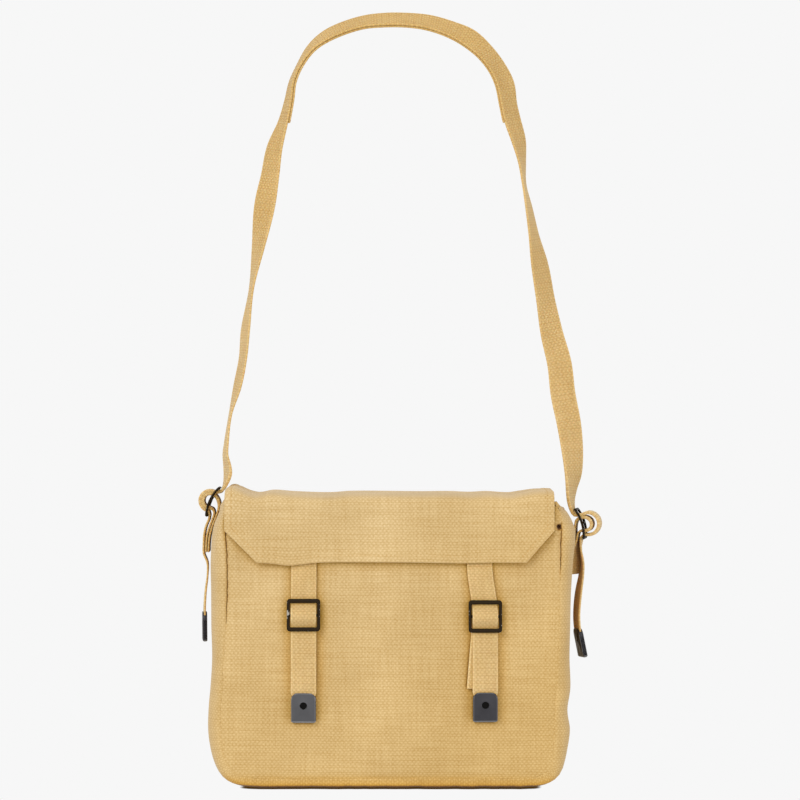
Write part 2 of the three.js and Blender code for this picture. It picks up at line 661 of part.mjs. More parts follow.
function addClosureStrap({ side, topX, buckleX, buckleZ, tipZ }) {
  const tipTop = tipZ + TIP.height;
  const plane = tipPlane(buckleX, tipZ);
  const rise = (z) => THREE.MathUtils.smoothstep(z, buckleZ, CLOSURE_HEM);
  const middleAt = (z) => THREE.MathUtils.lerp(buckleX, topX, rise(z));
  const skin = (x, z) => (z > tipTop ? frontSkin(x, z) : plane.y(x, z));
  const profile = [
    { z: CLOSURE_TOP, lift: ON_PANEL },
    { z: (CLOSURE_TOP + CLOSURE_HEM) / 2, lift: ON_PANEL },
    { z: CLOSURE_HEM, lift: ON_PANEL },
    ...TUCK.map(({ above, lift }) => ({ z: buckleZ + above, lift })),
    { z: buckleZ - CHAPE_DROP / 2, lift: ON_CHAPE },
    { z: buckleZ - CHAPE_DROP, lift: ON_CHAPE },
    { z: tipTop, lift: TIP_LIFT },
    { z: tipZ + TIP.height / 2, lift: TIP_LIFT },
    { z: tipZ + STRAP_END, lift: TIP_LIFT },
  ];
  addMesh(`closure_strap_${side}`, bandOnSkin(profile, middleAt, skin), webbing);
  const foot = point(buckleX, plane.y(buckleX, tipZ) - TIP_LIFT, tipZ);
  const up = point(buckleX, plane.y(buckleX, tipTop) - TIP_LIFT, tipTop).sub(foot).normalize();
  place(addMesh(`closure_tip_${side}`, strapTip(), gunmetal), foot, up, point(plane.slope, -1, 0));
}

function addClosureChape({ side, buckleX, chapeX, buckleZ }) {
  const end = buckleZ - CHAPE_DROP;
  const middleAt = (z) => THREE.MathUtils.mapLinear(z, end, buckleZ, chapeX, buckleX);
  const loop = LOOP_TURNS.map((turn) => {
    const angle = THREE.MathUtils.degToRad(turn);
    return { z: buckleZ + LOOP_RADIUS * Math.cos(angle), lift: PIN_LIFT + LOOP_RADIUS * Math.sin(angle) };
  });
  const lying = [CHAPE_DROP, ...CHAPE_REST].map((below) => ({ z: buckleZ - below, lift: ON_PANEL }));
  addMesh(`closure_chape_${side}`, bandOnSkin([...lying, ...loop], middleAt, frontSkin), webbing);
}

function addClosureBuckle({ side, buckleX, buckleZ }) {
  const reach = (BUCKLE.height - WIDE_BAR) / 2;
  const barCentre = (above, lift) => {
    const z = buckleZ + above;
    return point(buckleX, frontSkin(buckleX, z) - lift, z);
  };
  const topBar = barCentre(reach, TOP_BAR_LIFT);
  const bottomBar = barCentre(-reach, BOTTOM_BAR_LIFT);
  const up = topBar.clone().sub(bottomBar).normalize();
  const middle = topBar.add(bottomBar).multiplyScalar(0.5);
  const setBack = frontSkin(buckleX, buckleZ) - PIN_LIFT - middle.y;
  const mesh = addMesh(`closure_buckle_${side}`, buckle(0, setBack, WIDE_BAR), blackPaint);
  place(mesh, middle, up, point(slopeAcross(buckleX, buckleZ), -1, 0));
}

function addSideHardware({ side, x, z, lean, out }) {
  const angle = THREE.MathUtils.degToRad(lean);
  const up = point(-out * Math.sin(angle), 0, Math.cos(angle));
  const outward = point(out * Math.cos(angle), 0, Math.sin(angle));
  const frame = buckle(SIDE_BOW, 0, BUCKLE.bar);
  place(addMesh(`side_buckle_${side}`, frame, blackPaint), point(x, 0, z), up, outward);
  const route = side === "left" ? SIDE_CHAPES.left : SIDE_CHAPES.right.toReversed();
  addMesh(`side_chape_${side}`, band(route), webbing);
}

// The tip at one end of the shoulder strap, set along its last straight stretch.
function addStrapTip(side, end, before) {
  const up = point(before.x - end.x, 0, before.z - end.z).normalize();
  const turn = THREE.MathUtils.degToRad(end.turn);
  const out = side === "left" ? -1 : 1;
  const outward = point(out * Math.cos(turn), -Math.sin(turn), 0);
  const foot = point(end.x, 0, end.z).addScaledVector(up, -STRAP_END);
  place(addMesh(`side_tip_${side}`, strapTip(), gunmetal), foot, up, outward);
}

addMesh("front_panel", panel(frontFace, 1), canvas);
addMesh("back_panel", panel(backFace, -1), canvas);
addMesh("gusset", gusset(), canvas);
addMesh("flap", flap(), canvas);
for (const closure of CLOSURES) {
  addClosureStrap(closure);
  addClosureChape(closure);
  addClosureBuckle(closure);
}
addMesh("shoulder_strap", band(STRAP), webbing);
addMesh("shoulder_pad", band(STRAP, PAD_FIRST, PAD_LAST, -PLY), webbing);
SIDE_BUCKLES.forEach(addSideHardware);
addStrapTip("left", LEFT_TAIL[0], LEFT_TAIL[2]);
addStrapTip("right", RIGHT_TAIL.at(-1), RIGHT_TAIL.at(-3));

export default haversack;
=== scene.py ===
import math
from bisect import bisect_left
from collections import namedtuple

import bmesh
import bpy
from mathutils import Matrix, Vector, noise


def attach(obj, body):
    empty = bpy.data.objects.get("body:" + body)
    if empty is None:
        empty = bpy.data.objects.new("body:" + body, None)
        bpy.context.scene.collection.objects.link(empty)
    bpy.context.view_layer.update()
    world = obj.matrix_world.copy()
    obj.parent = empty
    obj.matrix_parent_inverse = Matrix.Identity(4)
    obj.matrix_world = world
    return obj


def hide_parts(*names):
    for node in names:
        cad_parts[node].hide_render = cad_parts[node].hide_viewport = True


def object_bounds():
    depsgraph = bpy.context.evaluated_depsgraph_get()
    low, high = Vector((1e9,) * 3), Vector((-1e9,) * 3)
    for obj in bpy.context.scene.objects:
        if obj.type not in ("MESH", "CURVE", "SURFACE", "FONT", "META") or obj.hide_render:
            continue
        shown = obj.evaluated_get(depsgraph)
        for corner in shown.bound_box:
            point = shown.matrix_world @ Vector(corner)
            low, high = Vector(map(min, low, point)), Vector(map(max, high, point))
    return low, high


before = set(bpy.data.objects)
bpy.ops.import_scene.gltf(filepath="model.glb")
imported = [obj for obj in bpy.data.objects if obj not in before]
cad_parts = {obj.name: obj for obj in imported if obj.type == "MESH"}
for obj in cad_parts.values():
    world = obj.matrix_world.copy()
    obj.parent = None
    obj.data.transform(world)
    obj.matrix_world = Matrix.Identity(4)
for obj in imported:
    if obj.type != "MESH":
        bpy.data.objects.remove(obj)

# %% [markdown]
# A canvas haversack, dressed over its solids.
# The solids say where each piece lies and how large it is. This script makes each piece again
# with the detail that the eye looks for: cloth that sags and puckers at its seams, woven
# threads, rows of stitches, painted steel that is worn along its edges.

MM = 0.001
solid_bounds = [list(corner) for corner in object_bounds()]
print("the solids reach from", solid_bounds[0], "to", solid_bounds[1])

# %% [markdown]
# The bag is sewn from a front, a back and one long gusset that runs down one side, under the
# bottom and up the other. Its outline could be drawn as one curve, but the seams, the bulge of
# the gusset and the belly of the front all change with the height, so a table with a row for
# each height says it with fewer numbers. Lengths are in millimetres, as on the pattern.

# %% Sizes of the cloth and the sections of the bag
CANVAS = 1.8
WEBBING = 1.9
WEBBING_WIDTH = 24.2
GAP = 0.35  # air between layers that touch
PLY = WEBBING + GAP  # from the middle of one layer of webbing to the next
SEAM_PLANE = 54  # the front and back seams lie this far from the middle of the bag
PANEL_FLATNESS = 2.6  # a higher power keeps a panel flatter and turns its edges sharper
BACK_BELLY = 0.6  # the back stands out this much less than the front


def table(kind, *rows):
    """A table of named rows."""
    return [kind(*row) for row in rows]


Section = namedtuple("Section", "z left right left_bulge right_bulge belly")
SECTIONS = table(
    Section,
    (-459, -165.5, 148.6, 5, 0, 3),
    (-470, -166, 153, 9, 8.5, 4),
    (-484, -166.2, 153.5, 14.5, 15.5, 5),
    (-513, -164.8, 153, 18.4, 14.5, 7),
    (-545, -164.6, 152.5, 18.2, 13, 8.5),
    (-577, -165.8, 151.5, 16.8, 13, 9.5),
    (-608, -168.2, 150, 13.2, 14, 10),
    (-637, -169.7, 149, 13.4, 16, 10),
    (-658, -171, 148, 14, 14, 9.5),
    (-676, -171, 146.5, 14.5, 18, 8.5),
    (-690, -169.8, 146, 14, 17, 7),
    (-703, -166.8, 145.5, 13.5, 14.5, 5),
    (-713, -161, 143, 13, 12.5, 3),
    (-719, -151.5, 134.5, 11.5, 11.2, 1.2),
    (-722, -132, 117, 10, 10, 0),
)
BOTTOM = SECTIONS[-1]
MOUTH = SECTIONS[0]

Hollow = namedtuple("Hollow", "x z wide tall depth")
HOLLOWS = table(
    Hollow,
    (-134, -620, 26, 60, 2.0),
    (-42, -640, 34, 50, 1.6),
    (28, -605, 34, 70, 1.6),
    (122, -650, 28, 55, 1.8),
)


def clamp(value, low=0.0, high=1.0):
    return max(low, min(high, value))


def lerp(start, end, share):
    return start + (end - start) * share


def ease(value, start, end):
    """0 before start, 1 after end, and a smooth step between them."""
    share = clamp((value - start) / (end - start))
    return share * share * (3 - 2 * share)


def bell(value, middle, width):
    return math.exp(-(((value - middle) / width) ** 2))


def along(rows, place):
    """The row at a place in a table, on the smooth curve through its rows.

    The curve is a centripetal Catmull-Rom spline, which doesn't overshoot where rows lie close."""
    low = min(int(place), len(rows) - 2)
    share = place - low
    b, c = Vector(rows[low]), Vector(rows[low + 1])
    a = Vector(rows[low - 1]) if low else 2 * b - c
    d = Vector(rows[low + 2]) if low + 2 < len(rows) else 2 * c - b
    before, here, after = (math.sqrt((q - p).xy.length) for p, q in ((a, b), (b, c), (c, d)))
    start = (b - a) * (here / before) - (c - a) * (here / (before + here)) + (c - b)
    end = (c - b) - (d - b) * (here / (here + after)) + (d - c) * (here / after)
    bend = (3 * (c - b) - 2 * start - end) * share**2 + (2 * (b - c) + start + end) * share**3
    return type(rows[0])(*(b + start * share + bend))


def stations(rows, spacing, first=0, last=None):
    """Places in a table that lie about a spacing apart, with one on each row."""
    last = len(rows) - 1 if last is None else last
    places = []
    for low in range(first, last):
        gap = (Vector(rows[low + 1]) - Vector(rows[low])).xy.length
        steps = max(1, round(gap / spacing))
        places += [low + step / steps for step in range(steps)]
    return [*places, last]


OUTLINE = [along(SECTIONS, place) for place in stations(SECTIONS, 2)]
DEPTHS = [-row.z for row in OUTLINE]


def section(z):
    """The bag's section at a height."""
    after = int(clamp(bisect_left(DEPTHS, -z), 1, len(DEPTHS) - 1))
    high, low = OUTLINE[after - 1], OUTLINE[after]
    share = clamp((high.z - z) / (high.z - low.z))
    return Section(*(lerp(a, b, share) for a, b in zip(high, low)))


print("outline of", len(OUTLINE), "rows; widest", max(row.right - row.left for row in OUTLINE))

# %% [markdown]
# Cloth is coloured by its threads. Haversack canvas is a plain weave of thick cotton yarn, so
# each pick of the weft shows as a row of pale crowns with darker gaps between them, and the
# next row is moved by half a step. An image would do, but it would tile; two cosines across
# the cloth's own UV map give the same crowns at the real spacing, and noise makes the yarn
# uneven, as spun cotton is. The UV map is in millimetres, so the spacing is too.

# %% Helpers for materials
def linear(hex_colour):
    """An sRGB colour such as D8B87F as linear red, green, blue and alpha."""
    channels = [int(hex_colour[i : i + 2], 16) / 255 for i in (0, 2, 4)]
    return [c / 12.92 if c <= 0.04045 else ((c + 0.055) / 1.055) ** 2.4 for c in channels] + [1]


def add_node(tree, kind, inputs=None, **settings):
    """Adds a node with its settings. An input is a value, or the output that it is linked to."""
    node = tree.nodes.new("ShaderNode" + kind)
    for name, value in settings.items():
        setattr(node, name, value)
    for socket, value in (inputs or {}).items():
        if isinstance(value, bpy.types.NodeSocket):
            tree.links.new(value, node.inputs[socket])
        else:
            node.inputs[socket].default_value = value
    return node


def calculate(tree, operation, *values):
    return add_node(tree, "Math", dict(enumerate(values)), operation=operation).outputs[0]


def grain(tree, place, scale, detail, dimensions="3D"):
    inputs = {"Vector": place, "Scale": scale, "Detail": detail}
    return add_node(tree, "TexNoise", inputs, noise_dimensions=dimensions).outputs["Fac"]


def rescale(tree, value, start, end, low=0.0, high=1.0, curve="LINEAR"):
    """A value that goes from low at start to high at end, and no further."""
    inputs = {"Value": value, "From Min": start, "From Max": end, "To Min": low, "To Max": high}
    return add_node(tree, "MapRange", inputs, interpolation_type=curve).outputs[0]


def mix(tree, share, one, other, blend="MIX"):
    """A mix of two colours, each an sRGB hex or the output that it is linked to."""
    colours = [linear(colour) if isinstance(colour, str) else colour for colour in (one, other)]
    inputs = {0: share, 6: colours[0], 7: colours[1]}
    return add_node(tree, "Mix", inputs, data_type="RGBA", blend_type=blend).outputs[2]


def bump(tree, height, strength, depth):
    inputs = {"Height": height, "Strength": strength, "Distance": depth}
    return add_node(tree, "Bump", inputs).outputs["Normal"]


def new_material(name):
    """A material with an empty node tree, and that tree."""
    material = bpy.data.materials.new(name)
    material.use_nodes = True
    material.node_tree.nodes.clear()
    return material, material.node_tree


def finish_surface(tree, inputs):
    """Ends a material in a Principled shader with these inputs."""
    shader = add_node(tree, "BsdfPrincipled", inputs)
    add_node(tree, "OutputMaterial", {"Surface": shader.outputs["BSDF"]})


# %% Woven cotton
Weave = namedtuple("Weave", "warp weft crown gap handled low high at_low at_high")
# warp and weft are the spacings of the yarns in millimetres, measured in the photo.
# handled is a tint of painted shade, whose share goes from at_low at the height low to at_high at the height
# high.
CANVAS_WEAVE = Weave(2.02, 2.36, "D4BB8E", "B3935C", "FAF2DB", -0.73, -0.45, 0.85, 0.0)
WEBBING_WEAVE = Weave(2.05, 2.4, "D6BB88", "B4925A", "F2E9CE", -0.62, 0.0, 0.0, 1.0)
WANDER = 28  # the yarns stray from straight over about this length
WANDER_REACH = 1.3
STREAK = 45  # a yarn keeps its thickness over about this length
MOTTLE = 75  # the dye is uneven over about this length
# FOLD_SHADE and SEAM_SHADE are painted shade: tints for cloth in folds and in narrow lines where pieces
# touch.
FOLD_SHADE = "FFE03C"  # the tint of cloth in a fold
SEAM_SHADE = "80601C"  # the tint of cloth in a line where pieces touch
CROWN_HEIGHT = 0.00016  # metres
CROWN_SHADE = 0.24  # how much the crowns and the rows of the weave differ in shade
ROW_SHADE = 0.32
GAP_SHADE = 0.22
DYE_TINTS = [(0.93, 0.915, 0.87, 1), (1.04, 1.05, 1.07, 1)]


def woven_cotton(name, weave, selvedge=None):
    """Plain-woven cotton. selvedge is the distance from the middle of a webbing to its edge."""
    material, tree = new_material(name)
    place = add_node(tree, "UVMap", uv_map="cloth").outputs["UV"]
    stray = add_node(tree, "TexNoise", {"Vector": place, "Scale": 1 / WANDER}, noise_dimensions="2D")
    strayed = add_node(tree, "VectorMath", {0: stray.outputs["Color"], 1: (WANDER_REACH,) * 3, 2: place},
                       operation="MULTIPLY_ADD").outputs[0]
    axes = add_node(tree, "SeparateXYZ", {0: strayed})
    warp = calculate(tree, "COSINE", calculate(tree, "MULTIPLY", axes.outputs["X"], math.pi / weave.warp))
    weft = calculate(tree, "COSINE", calculate(tree, "MULTIPLY", axes.outputs["Y"], math.pi / weave.weft))
    crowns = calculate(tree, "MULTIPLY", warp, weft)
    shade = calculate(tree, "MULTIPLY_ADD", crowns, CROWN_SHADE, GAP_SHADE)
    shade = calculate(tree, "MULTIPLY_ADD", calculate(tree, "ABSOLUTE", weft), ROW_SHADE, shade)
    # Uneven yarns: streaks along the weft, streaks along the warp, and single fibres.
    unevenness = [
        ((1 / STREAK, 1 / weave.weft, 0), 0.5, 2),
        ((1 / weave.warp, 1 / STREAK, 0), 0.45, 2),
        ((0.75, 0.75, 0), 0.85, 3),
    ]
    for scales, weight, detail in unevenness:
        spot = add_node(tree, "VectorMath", {0: strayed, 1: scales}, operation="MULTIPLY").outputs[0]
        centred = calculate(tree, "SUBTRACT", grain(tree, spot, 1.0, detail, "2D"), 0.5)
        shade = calculate(tree, "MULTIPLY_ADD", centred, weight, shade)
    # Painted highlight: both edges of a webbing are made lighter, as where its rounded selvedges catch the
    # light; the same rise also goes into the bump.
    if selvedge:
        off = calculate(tree, "ABSOLUTE", add_node(tree, "SeparateXYZ", {0: place}).outputs["X"])
        rim = rescale(tree, off, selvedge - 2.2, selvedge - 1.0, 0, 0.28, "SMOOTHSTEP")
        shade = calculate(tree, "ADD", shade, rim)
    colour = mix(tree, shade, weave.gap, weave.crown)
    # Dye that took unevenly.
    tint = add_node(tree, "ValToRGB", {0: grain(tree, place, 1 / MOTTLE, 3.0, "2D")})
    for stop, position, dye in zip(tint.color_ramp.elements, (0.3, 0.7), DYE_TINTS):
        stop.position = position
        stop.color = dye
    colour = mix(tree, 1.0, colour, tint.outputs["Color"], "MULTIPLY")
    # Painted shade: a warmer and darker tint that changes with height, strongest at the bottom of the canvas
    # and at the top of the webbing, and on the canvas also growing towards its right side.
    where = add_node(tree, "SeparateXYZ", {0: add_node(tree, "TexCoord").outputs["Object"]})
    down = rescale(tree, where.outputs["Z"], weave.low, weave.high, weave.at_low, weave.at_high)
    right = rescale(tree, where.outputs["X"], -0.02, 0.17, 0, 0.0 if selvedge else 0.5)
    colour = mix(tree, calculate(tree, "ADD", down, right), colour, weave.handled, "MULTIPLY")
    # Painted shade: in folds and in the lines where pieces meet, where nearby cloth hides the light, the
    # colour is made deeper.
    open_air = add_node(tree, "AmbientOcclusion", {"Distance": 0.018}, samples=8).outputs["AO"]
    fold = rescale(tree, open_air, 0.3, 0.96, 0.5 if selvedge else 0.9, 0)
    colour = mix(tree, fold, colour, FOLD_SHADE, "MULTIPLY")
    pressed = add_node(tree, "AmbientOcclusion", {"Distance": 0.006}, samples=8, only_local=bool(selvedge))
    line = rescale(tree, pressed.outputs["AO"], 0.42, 0.7, 0.9, 0)
    colour = mix(tree, line, colour, SEAM_SHADE, "MULTIPLY")
    finish_surface(tree, {
        "Base Color": colour,
        "Normal": bump(tree, shade, 0.7, CROWN_HEIGHT),
        "Roughness": 0.94,
        "Specular IOR Level": 0.25,
        "Subsurface Weight": 0.4 if selvedge else 0.0,
        "Subsurface Radius": (1.0, 0.75, 0.45),
        "Subsurface Scale": 0.0025,
        "Sheen Weight": 0.12,
        "Sheen Roughness": 0.6,
    })
    return material


canvas_cloth = woven_cotton("plain woven cotton canvas", CANVAS_WEAVE)
webbing_cloth = woven_cotton("woven cotton webbing", WEBBING_WEAVE, selvedge=WEBBING_WIDTH / 2)
print("weaves:", canvas_cloth.name, "and", webbing_cloth.name)

# %% [markdown]
# Sewing thread is waxed cotton of about half a millimetre. At this size its twist doesn't show,
# so one colour with a little noise from stitch to stitch is enough.

# %% Waxed cotton thread
def waxed_thread():
    material, tree = new_material("waxed cotton thread")
    place = add_node(tree, "TexCoord").outputs["Object"]
    colour = mix(tree, grain(tree, place, 260.0, 1.0), "A47C3C", "D6B276")
    finish_surface(tree, {"Base Color": colour, "Roughness": 0.7})
    return material


thread = waxed_thread()
print("thread:", thread.name)

# %% [markdown]
# The buckles are steel frames that were dipped in black paint. Paint wears first where webbing
# and cloth rub it: along the edges of the bars. Where it is worn shows in a vertex attribute
# named wear, because it follows the shape, and noise breaks its edge up into chips.

# %% Black paint and blued steel
def worn_paint():
    """Black stoving enamel on steel, with bare steel where wear and noise together are high."""
    material, tree = new_material("black stoving enamel")
    place = add_node(tree, "TexCoord").outputs["Object"]
    wear = add_node(tree, "Attribute", attribute_name="wear").outputs["Fac"]
    chips = grain(tree, place, 420.0, 4.0)
    bare = rescale(tree, calculate(tree, "ADD", wear, chips), 1.18, 1.26)
    cloudy = grain(tree, place, 160.0, 2.0)
    paint = mix(tree, cloudy, "170F02", "281B06")
    finish_surface(tree, {
        "Base Color": mix(tree, bare, paint, "9A958C"),
        "Metallic": bare,
        "Specular IOR Level": 0.1,
        "Roughness": rescale(tree, cloudy, 0, 1, 0.42, 0.62),
        "Normal": bump(tree, chips, 0.25, 0.0002),
    })
    return material


def blued_steel():
    """Sheet steel with a dark satin blueing that is lighter at its edges, partly worn and partly a painted
    highlight.
    """
    material, tree = new_material("blued sheet steel")
    place = add_node(tree, "TexCoord").outputs["Object"]
    wear = add_node(tree, "Attribute", attribute_name="wear").outputs["Fac"]
    cloudy = grain(tree, place, 190.0, 4.0)
    blue = mix(tree, cloudy, "333236", "3D3C3F")
    brushed = add_node(tree, "Mapping", {"Vector": place, "Scale": (900, 900, 120)}).outputs[0]
    finish_surface(tree, {
        "Base Color": mix(tree, wear, blue, "B4B4B4"),
        "Metallic": 0.75,
        "Roughness": rescale(tree, cloudy, 0, 1, 0.42, 0.52),
        "Normal": bump(tree, grain(tree, brushed, 1.0, 2.0), 0.1, 0.0001),
    })
    return material


def eyelet_hole_shade():
    """Painted shade: a black disc in the hole of an eyelet, where no light reaches down."""
    material, tree = new_material("painted shade in an eyelet hole")
    finish_surface(tree, {"Base Color": linear("0C0B0A"), "Roughness": 0.9, "Specular IOR Level": 0.1})
    return material


black_paint = worn_paint()
gunmetal = blued_steel()
hole_shade = eyelet_hole_shade()
print("metals:", black_paint.name, "and", gunmetal.name)

# %% [markdown]
# Every sheet of cloth here starts as a flat grid, as cloth comes off the loom, and each of its
# points is then moved to where the cloth hangs. The grid keeps its rows and columns, so the UV
# map can be the distance along and across the cloth, and the threads follow every bend. The
# Solidify modifier gives the sheet its thickness, and a narrow Bevel rounds its cut edges.

# %% Cloth from rows of points
def lay_cloth(points, outward, straight=False, fullness=None):
    """A bmesh grid through rows of points. outward points out of its face at its middle.

    straight takes the distance across from x, as where the warp hangs straight down.
    fullness is the share of the sheet's thickness that each row has."""
    rows, columns = len(points), len(points[0])
    form = bmesh.new()
    bmesh.ops.create_grid(form, x_segments=columns - 1, y_segments=rows - 1, size=0.5)
    middle = columns // 2
    lengths = [0.0]
    for above, below in zip(points, points[1:]):
        lengths.append(lengths[-1] + (below[middle] - above[middle]).length)
    threads = {}
    centre = None
    full = form.verts.layers.deform.verify() if fullness else None
    for vertex in form.verts:
        column = round((vertex.co.x + 0.5) * (columns - 1))
        row = round((vertex.co.y + 0.5) * (rows - 1))
        here = points[row]
        vertex.co = here[column]
        centre = vertex if (row, column) == (rows // 2, middle) else centre
        low, high = sorted((column, middle))
        across = sum((b - a).length for a, b in zip(here[low:high], here[low + 1 : high + 1]))
        across = math.copysign(across, column - middle)
        threads[vertex] = (here[column].x if straight else across, lengths[row])
        if fullness:
            vertex[full][0] = fullness[row]
    cloth_map = form.loops.layers.uv.new("cloth")
    for face in form.faces:
        face.smooth = True
        for loop in face.loops:
            loop[cloth_map].uv = threads[loop.vert]
    form.normal_update()
    if centre.normal.dot(Vector(outward)) < 0:
        bmesh.ops.reverse_faces(form, faces=form.faces)
    return form


def show(name, data):
    """Puts an object with a mesh, a light or a camera in the scene."""
    shown = bpy.data.objects.new(name, data)
    bpy.context.scene.collection.objects.link(shown)
    return shown


def show_form(name, form, material):
    mesh = bpy.data.meshes.new(name)
    form.to_mesh(mesh)
    form.free()
    mesh.materials.append(material)
    return show(name, mesh)


def smooth(form):
    for face in form.faces:
        face.smooth = True


def make_piece(name, form, material, nodes=()):
    """A piece in metres from a bmesh in millimetres. It rides with the bag."""
    bmesh.ops.scale(form, vec=(MM, MM, MM), verts=form.verts)
    piece = show_form(name, form, material)
    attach(piece, "root")
    if nodes:
        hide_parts(*nodes)
    return piece


def round_edges(piece, width, segments, degrees):
    """Rounds the edges at which a piece turns by more than some degrees."""
    edge = piece.modifiers.new("rounded edges", "BEVEL")
    edge.width = width * MM
    edge.segments = segments
    edge.limit_method = "ANGLE"
    edge.angle_limit = math.radians(degrees)


def thicken(piece, thickness, side, rounding):
    """Gives a sheet its thickness. side is -1 where the sheet is its outer face, 0 its middle."""
    wall = piece.modifiers.new("thickness", "SOLIDIFY")
    wall.thickness = thickness * MM
    wall.offset = side
    round_edges(piece, rounding, 2, 50)
    return piece


# %% [markdown]
# The front panel is one piece of canvas. It is fullest in its middle and hollow beside the
# straps that press on it. At its seam the canvas turns in, and the folded seam allowance lies
# behind it, which lifts a band as wide as the allowance. The sewing gathers the cloth a little,
# so that band also puckers. A cloth simulation could find such shapes, but these few are known,
# so a short formula for each is quicker and can be matched to the photo one by one.

# %% Front and back panels
ROLL = 5.5  # the canvas turns in over this width at a seam
ROLL_DEPTH = 2.4
ALLOWANCE = 10  # width of the seam allowance behind the canvas
ALLOWANCE_LIFT = 0.55
SLACK_SEAM = 0.12  # a seam that lies soft is this tight
LEFT_SOFTENS = (-595, -545)  # the front seams go from tight to soft between these heights
RIGHT_SOFTENS = (-542, -506)
Pit = namedtuple("Pit", "x z wide deep")
PIT = Pit(151.3, -482, 1.9, 11)  # the first stitch of the right front seam has pulled a hole
FRONT_SEED = 3.0
BACK_SEED = 17.0
PUCKER = 0.7  # depth of the puckers at a seam
PUCKER_LENGTH = 7.5
PUCKER_REACH = 11
STITCH_PULL = 0.8  # depth to which a stitch pulls the seam in
STITCH_REACH = 2.5
STITCH_PITCH = 3.4  # the seam is pulled in at each stitch
SLACK = 0.9  # depth of the broad unevenness of the cloth
SLACK_SIZE = 34
PANEL_EDGE = [0, 0.6, 1.3, 2.1, 3.0, 4.0, 5.2, 6.6, 8.2, 10, 12.2, 14.8]  # columns next to a seam
PANEL_SPACING = 2.4
PANEL_COLUMNS = 84  # between the last columns next to the seams

Closure = namedtuple("Closure", "side top_x buckle_x chape_x buckle_z tip_z")
CLOSURES = table(
    Closure,
    ("left", -91.5, -91.7, -91.7, -565.2, -667),
    ("right", 75.7, 81.1, 75.5, -566.5, -666.4),
)
CLOSURE_TOP = -478
CLOSURE_HEM = -516
PRESS = 2.2  # depth of the grooves that the closure straps press beside them
PRESS_WIDTH = 5
PRESS_TOP = (-535, -505)  # above this the straps no longer press on the panel


def belly(x, z):
    """How far a panel stands out from the plane of its seam."""
    here = section(z)
    across = clamp(2 * (x - here.left) / (here.right - here.left) - 1, -1, 1)
    return here.belly * (1 - abs(across) ** PANEL_FLATNESS)


def hollow(x, z):
    return sum(h.depth * bell(x, h.x, h.wide) * bell(z, h.z, h.tall) for h in HOLLOWS)


def front_face(x, z):
    """y of the front panel without its small relief, which what lies on the panel follows."""
    return -(SEAM_PLANE + max(belly(x, z) - hollow(x, z), 0))


def rough(x, z, size, seed):
    """Smooth noise from -1 to 1 whose bumps are about a size wide."""
    return noise.noise(Vector((x / size, z / size, seed)))


def strap_middle(closure, z):
    """x of the middle of a closure strap at a height."""
    return lerp(closure.buckle_x, closure.top_x, ease(z, closure.buckle_z, CLOSURE_HEM))


def strap_press(x, z):
    """Grooves on both sides of each closure strap, from the flap's hem to past its tip."""
    depth = 0
    for closure in CLOSURES:
        off = abs(x - strap_middle(closure, z)) - WEBBING_WIDTH / 2 - 2
        down = ease(z, closure.tip_z - 14, closure.tip_z + 10) * (1 - ease(z, *PRESS_TOP))
        depth += PRESS * math.exp(-((off / PRESS_WIDTH) ** 2)) * down
    return depth


def tightness(x, z):
    """How tightly the seam is pulled: 1 near the mouth, less below, where it lies soft."""
    loose_below, loose_from = LEFT_SOFTENS if x < 0 else RIGHT_SOFTENS
    closed = ease(z, PIT.z, PIT.z + 6) * (x > 0)  # above the pit the seam is drawn shut
    return lerp(SLACK_SEAM, 1, ease(z, loose_below, loose_from) * (1 - closed))


def seam_wander(x, z):
    """How far the seam strays sideways."""
    return 0.8 * rough(x * 0.1, z, 8, 71.0) + 0.5 * rough(x * 0.1, z, 3.5, 73.0)


def seam_relief(distance, x, z, seed):
    """How far the canvas lies behind its smooth face near a seam."""
    tight = tightness(x, z)
    roll = ROLL_DEPTH * tight * max(1 - distance / ROLL, 0) ** 2
    lift = ALLOWANCE_LIFT * (1 - ease(distance, ALLOWANCE - 2.5, ALLOWANCE + 3))
    gathered = PUCKER * rough(x, z, PUCKER_LENGTH, seed) * math.exp(-distance / PUCKER_REACH)
    gathered += STITCH_PULL * rough(x, z, STITCH_PITCH, seed + 5) * math.exp(-distance / STITCH_REACH)
    pit = PIT.deep * bell(x, PIT.x, PIT.wide) * bell(z, PIT.z, PIT.wide) * (seed == FRONT_SEED)
    return roll - lift + gathered * lerp(0.5, 1, tight) + pit


def panel_points(face, inward, seed, press):
    """Rows of points down a panel. inward is +1 where the inside of the bag lies towards +y."""
    rows = []
    for place in stations(SECTIONS, PANEL_SPACING):
        here = along(SECTIONS, place)
        width = here.right - here.left
        inner = [i / PANEL_COLUMNS for i in range(1, PANEL_COLUMNS)]
        inner = [lerp(PANEL_EDGE[-1], width - PANEL_EDGE[-1], share) for share in inner]
        offsets = [*PANEL_EDGE, *inner, *(width - edge for edge in reversed(PANEL_EDGE))]
        row = []
        for offset in offsets:
            x, z = here.left + offset, here.z
            distance = min(offset, width - offset, here.z - BOTTOM.z)
            relief = seam_relief(distance, x, z, seed)
            relief += SLACK * (0.5 + 0.5 * rough(x, z, SLACK_SIZE, seed + 9)) * ease(distance, 4, 30)
            at_seam = math.exp(-min(offset, width - offset) / 5)
            y = face(x, z) + inward * (relief + press(x, z))
            row.append(Vector((x + seam_wander(x, z) * at_seam, y, z)))
        rows.append(row)
    return rows


front_points = panel_points(front_face, 1, FRONT_SEED, strap_press)
front_form = lay_cloth(front_points, (0, -1, 0), straight=True)
front_panel = make_piece("front_panel_cloth", front_form, canvas_cloth, ["front_panel"])
thicken(front_panel, CANVAS, -1, 0.5)


def back_face(x, z):
    return SEAM_PLANE + BACK_BELLY * belly(x, z)


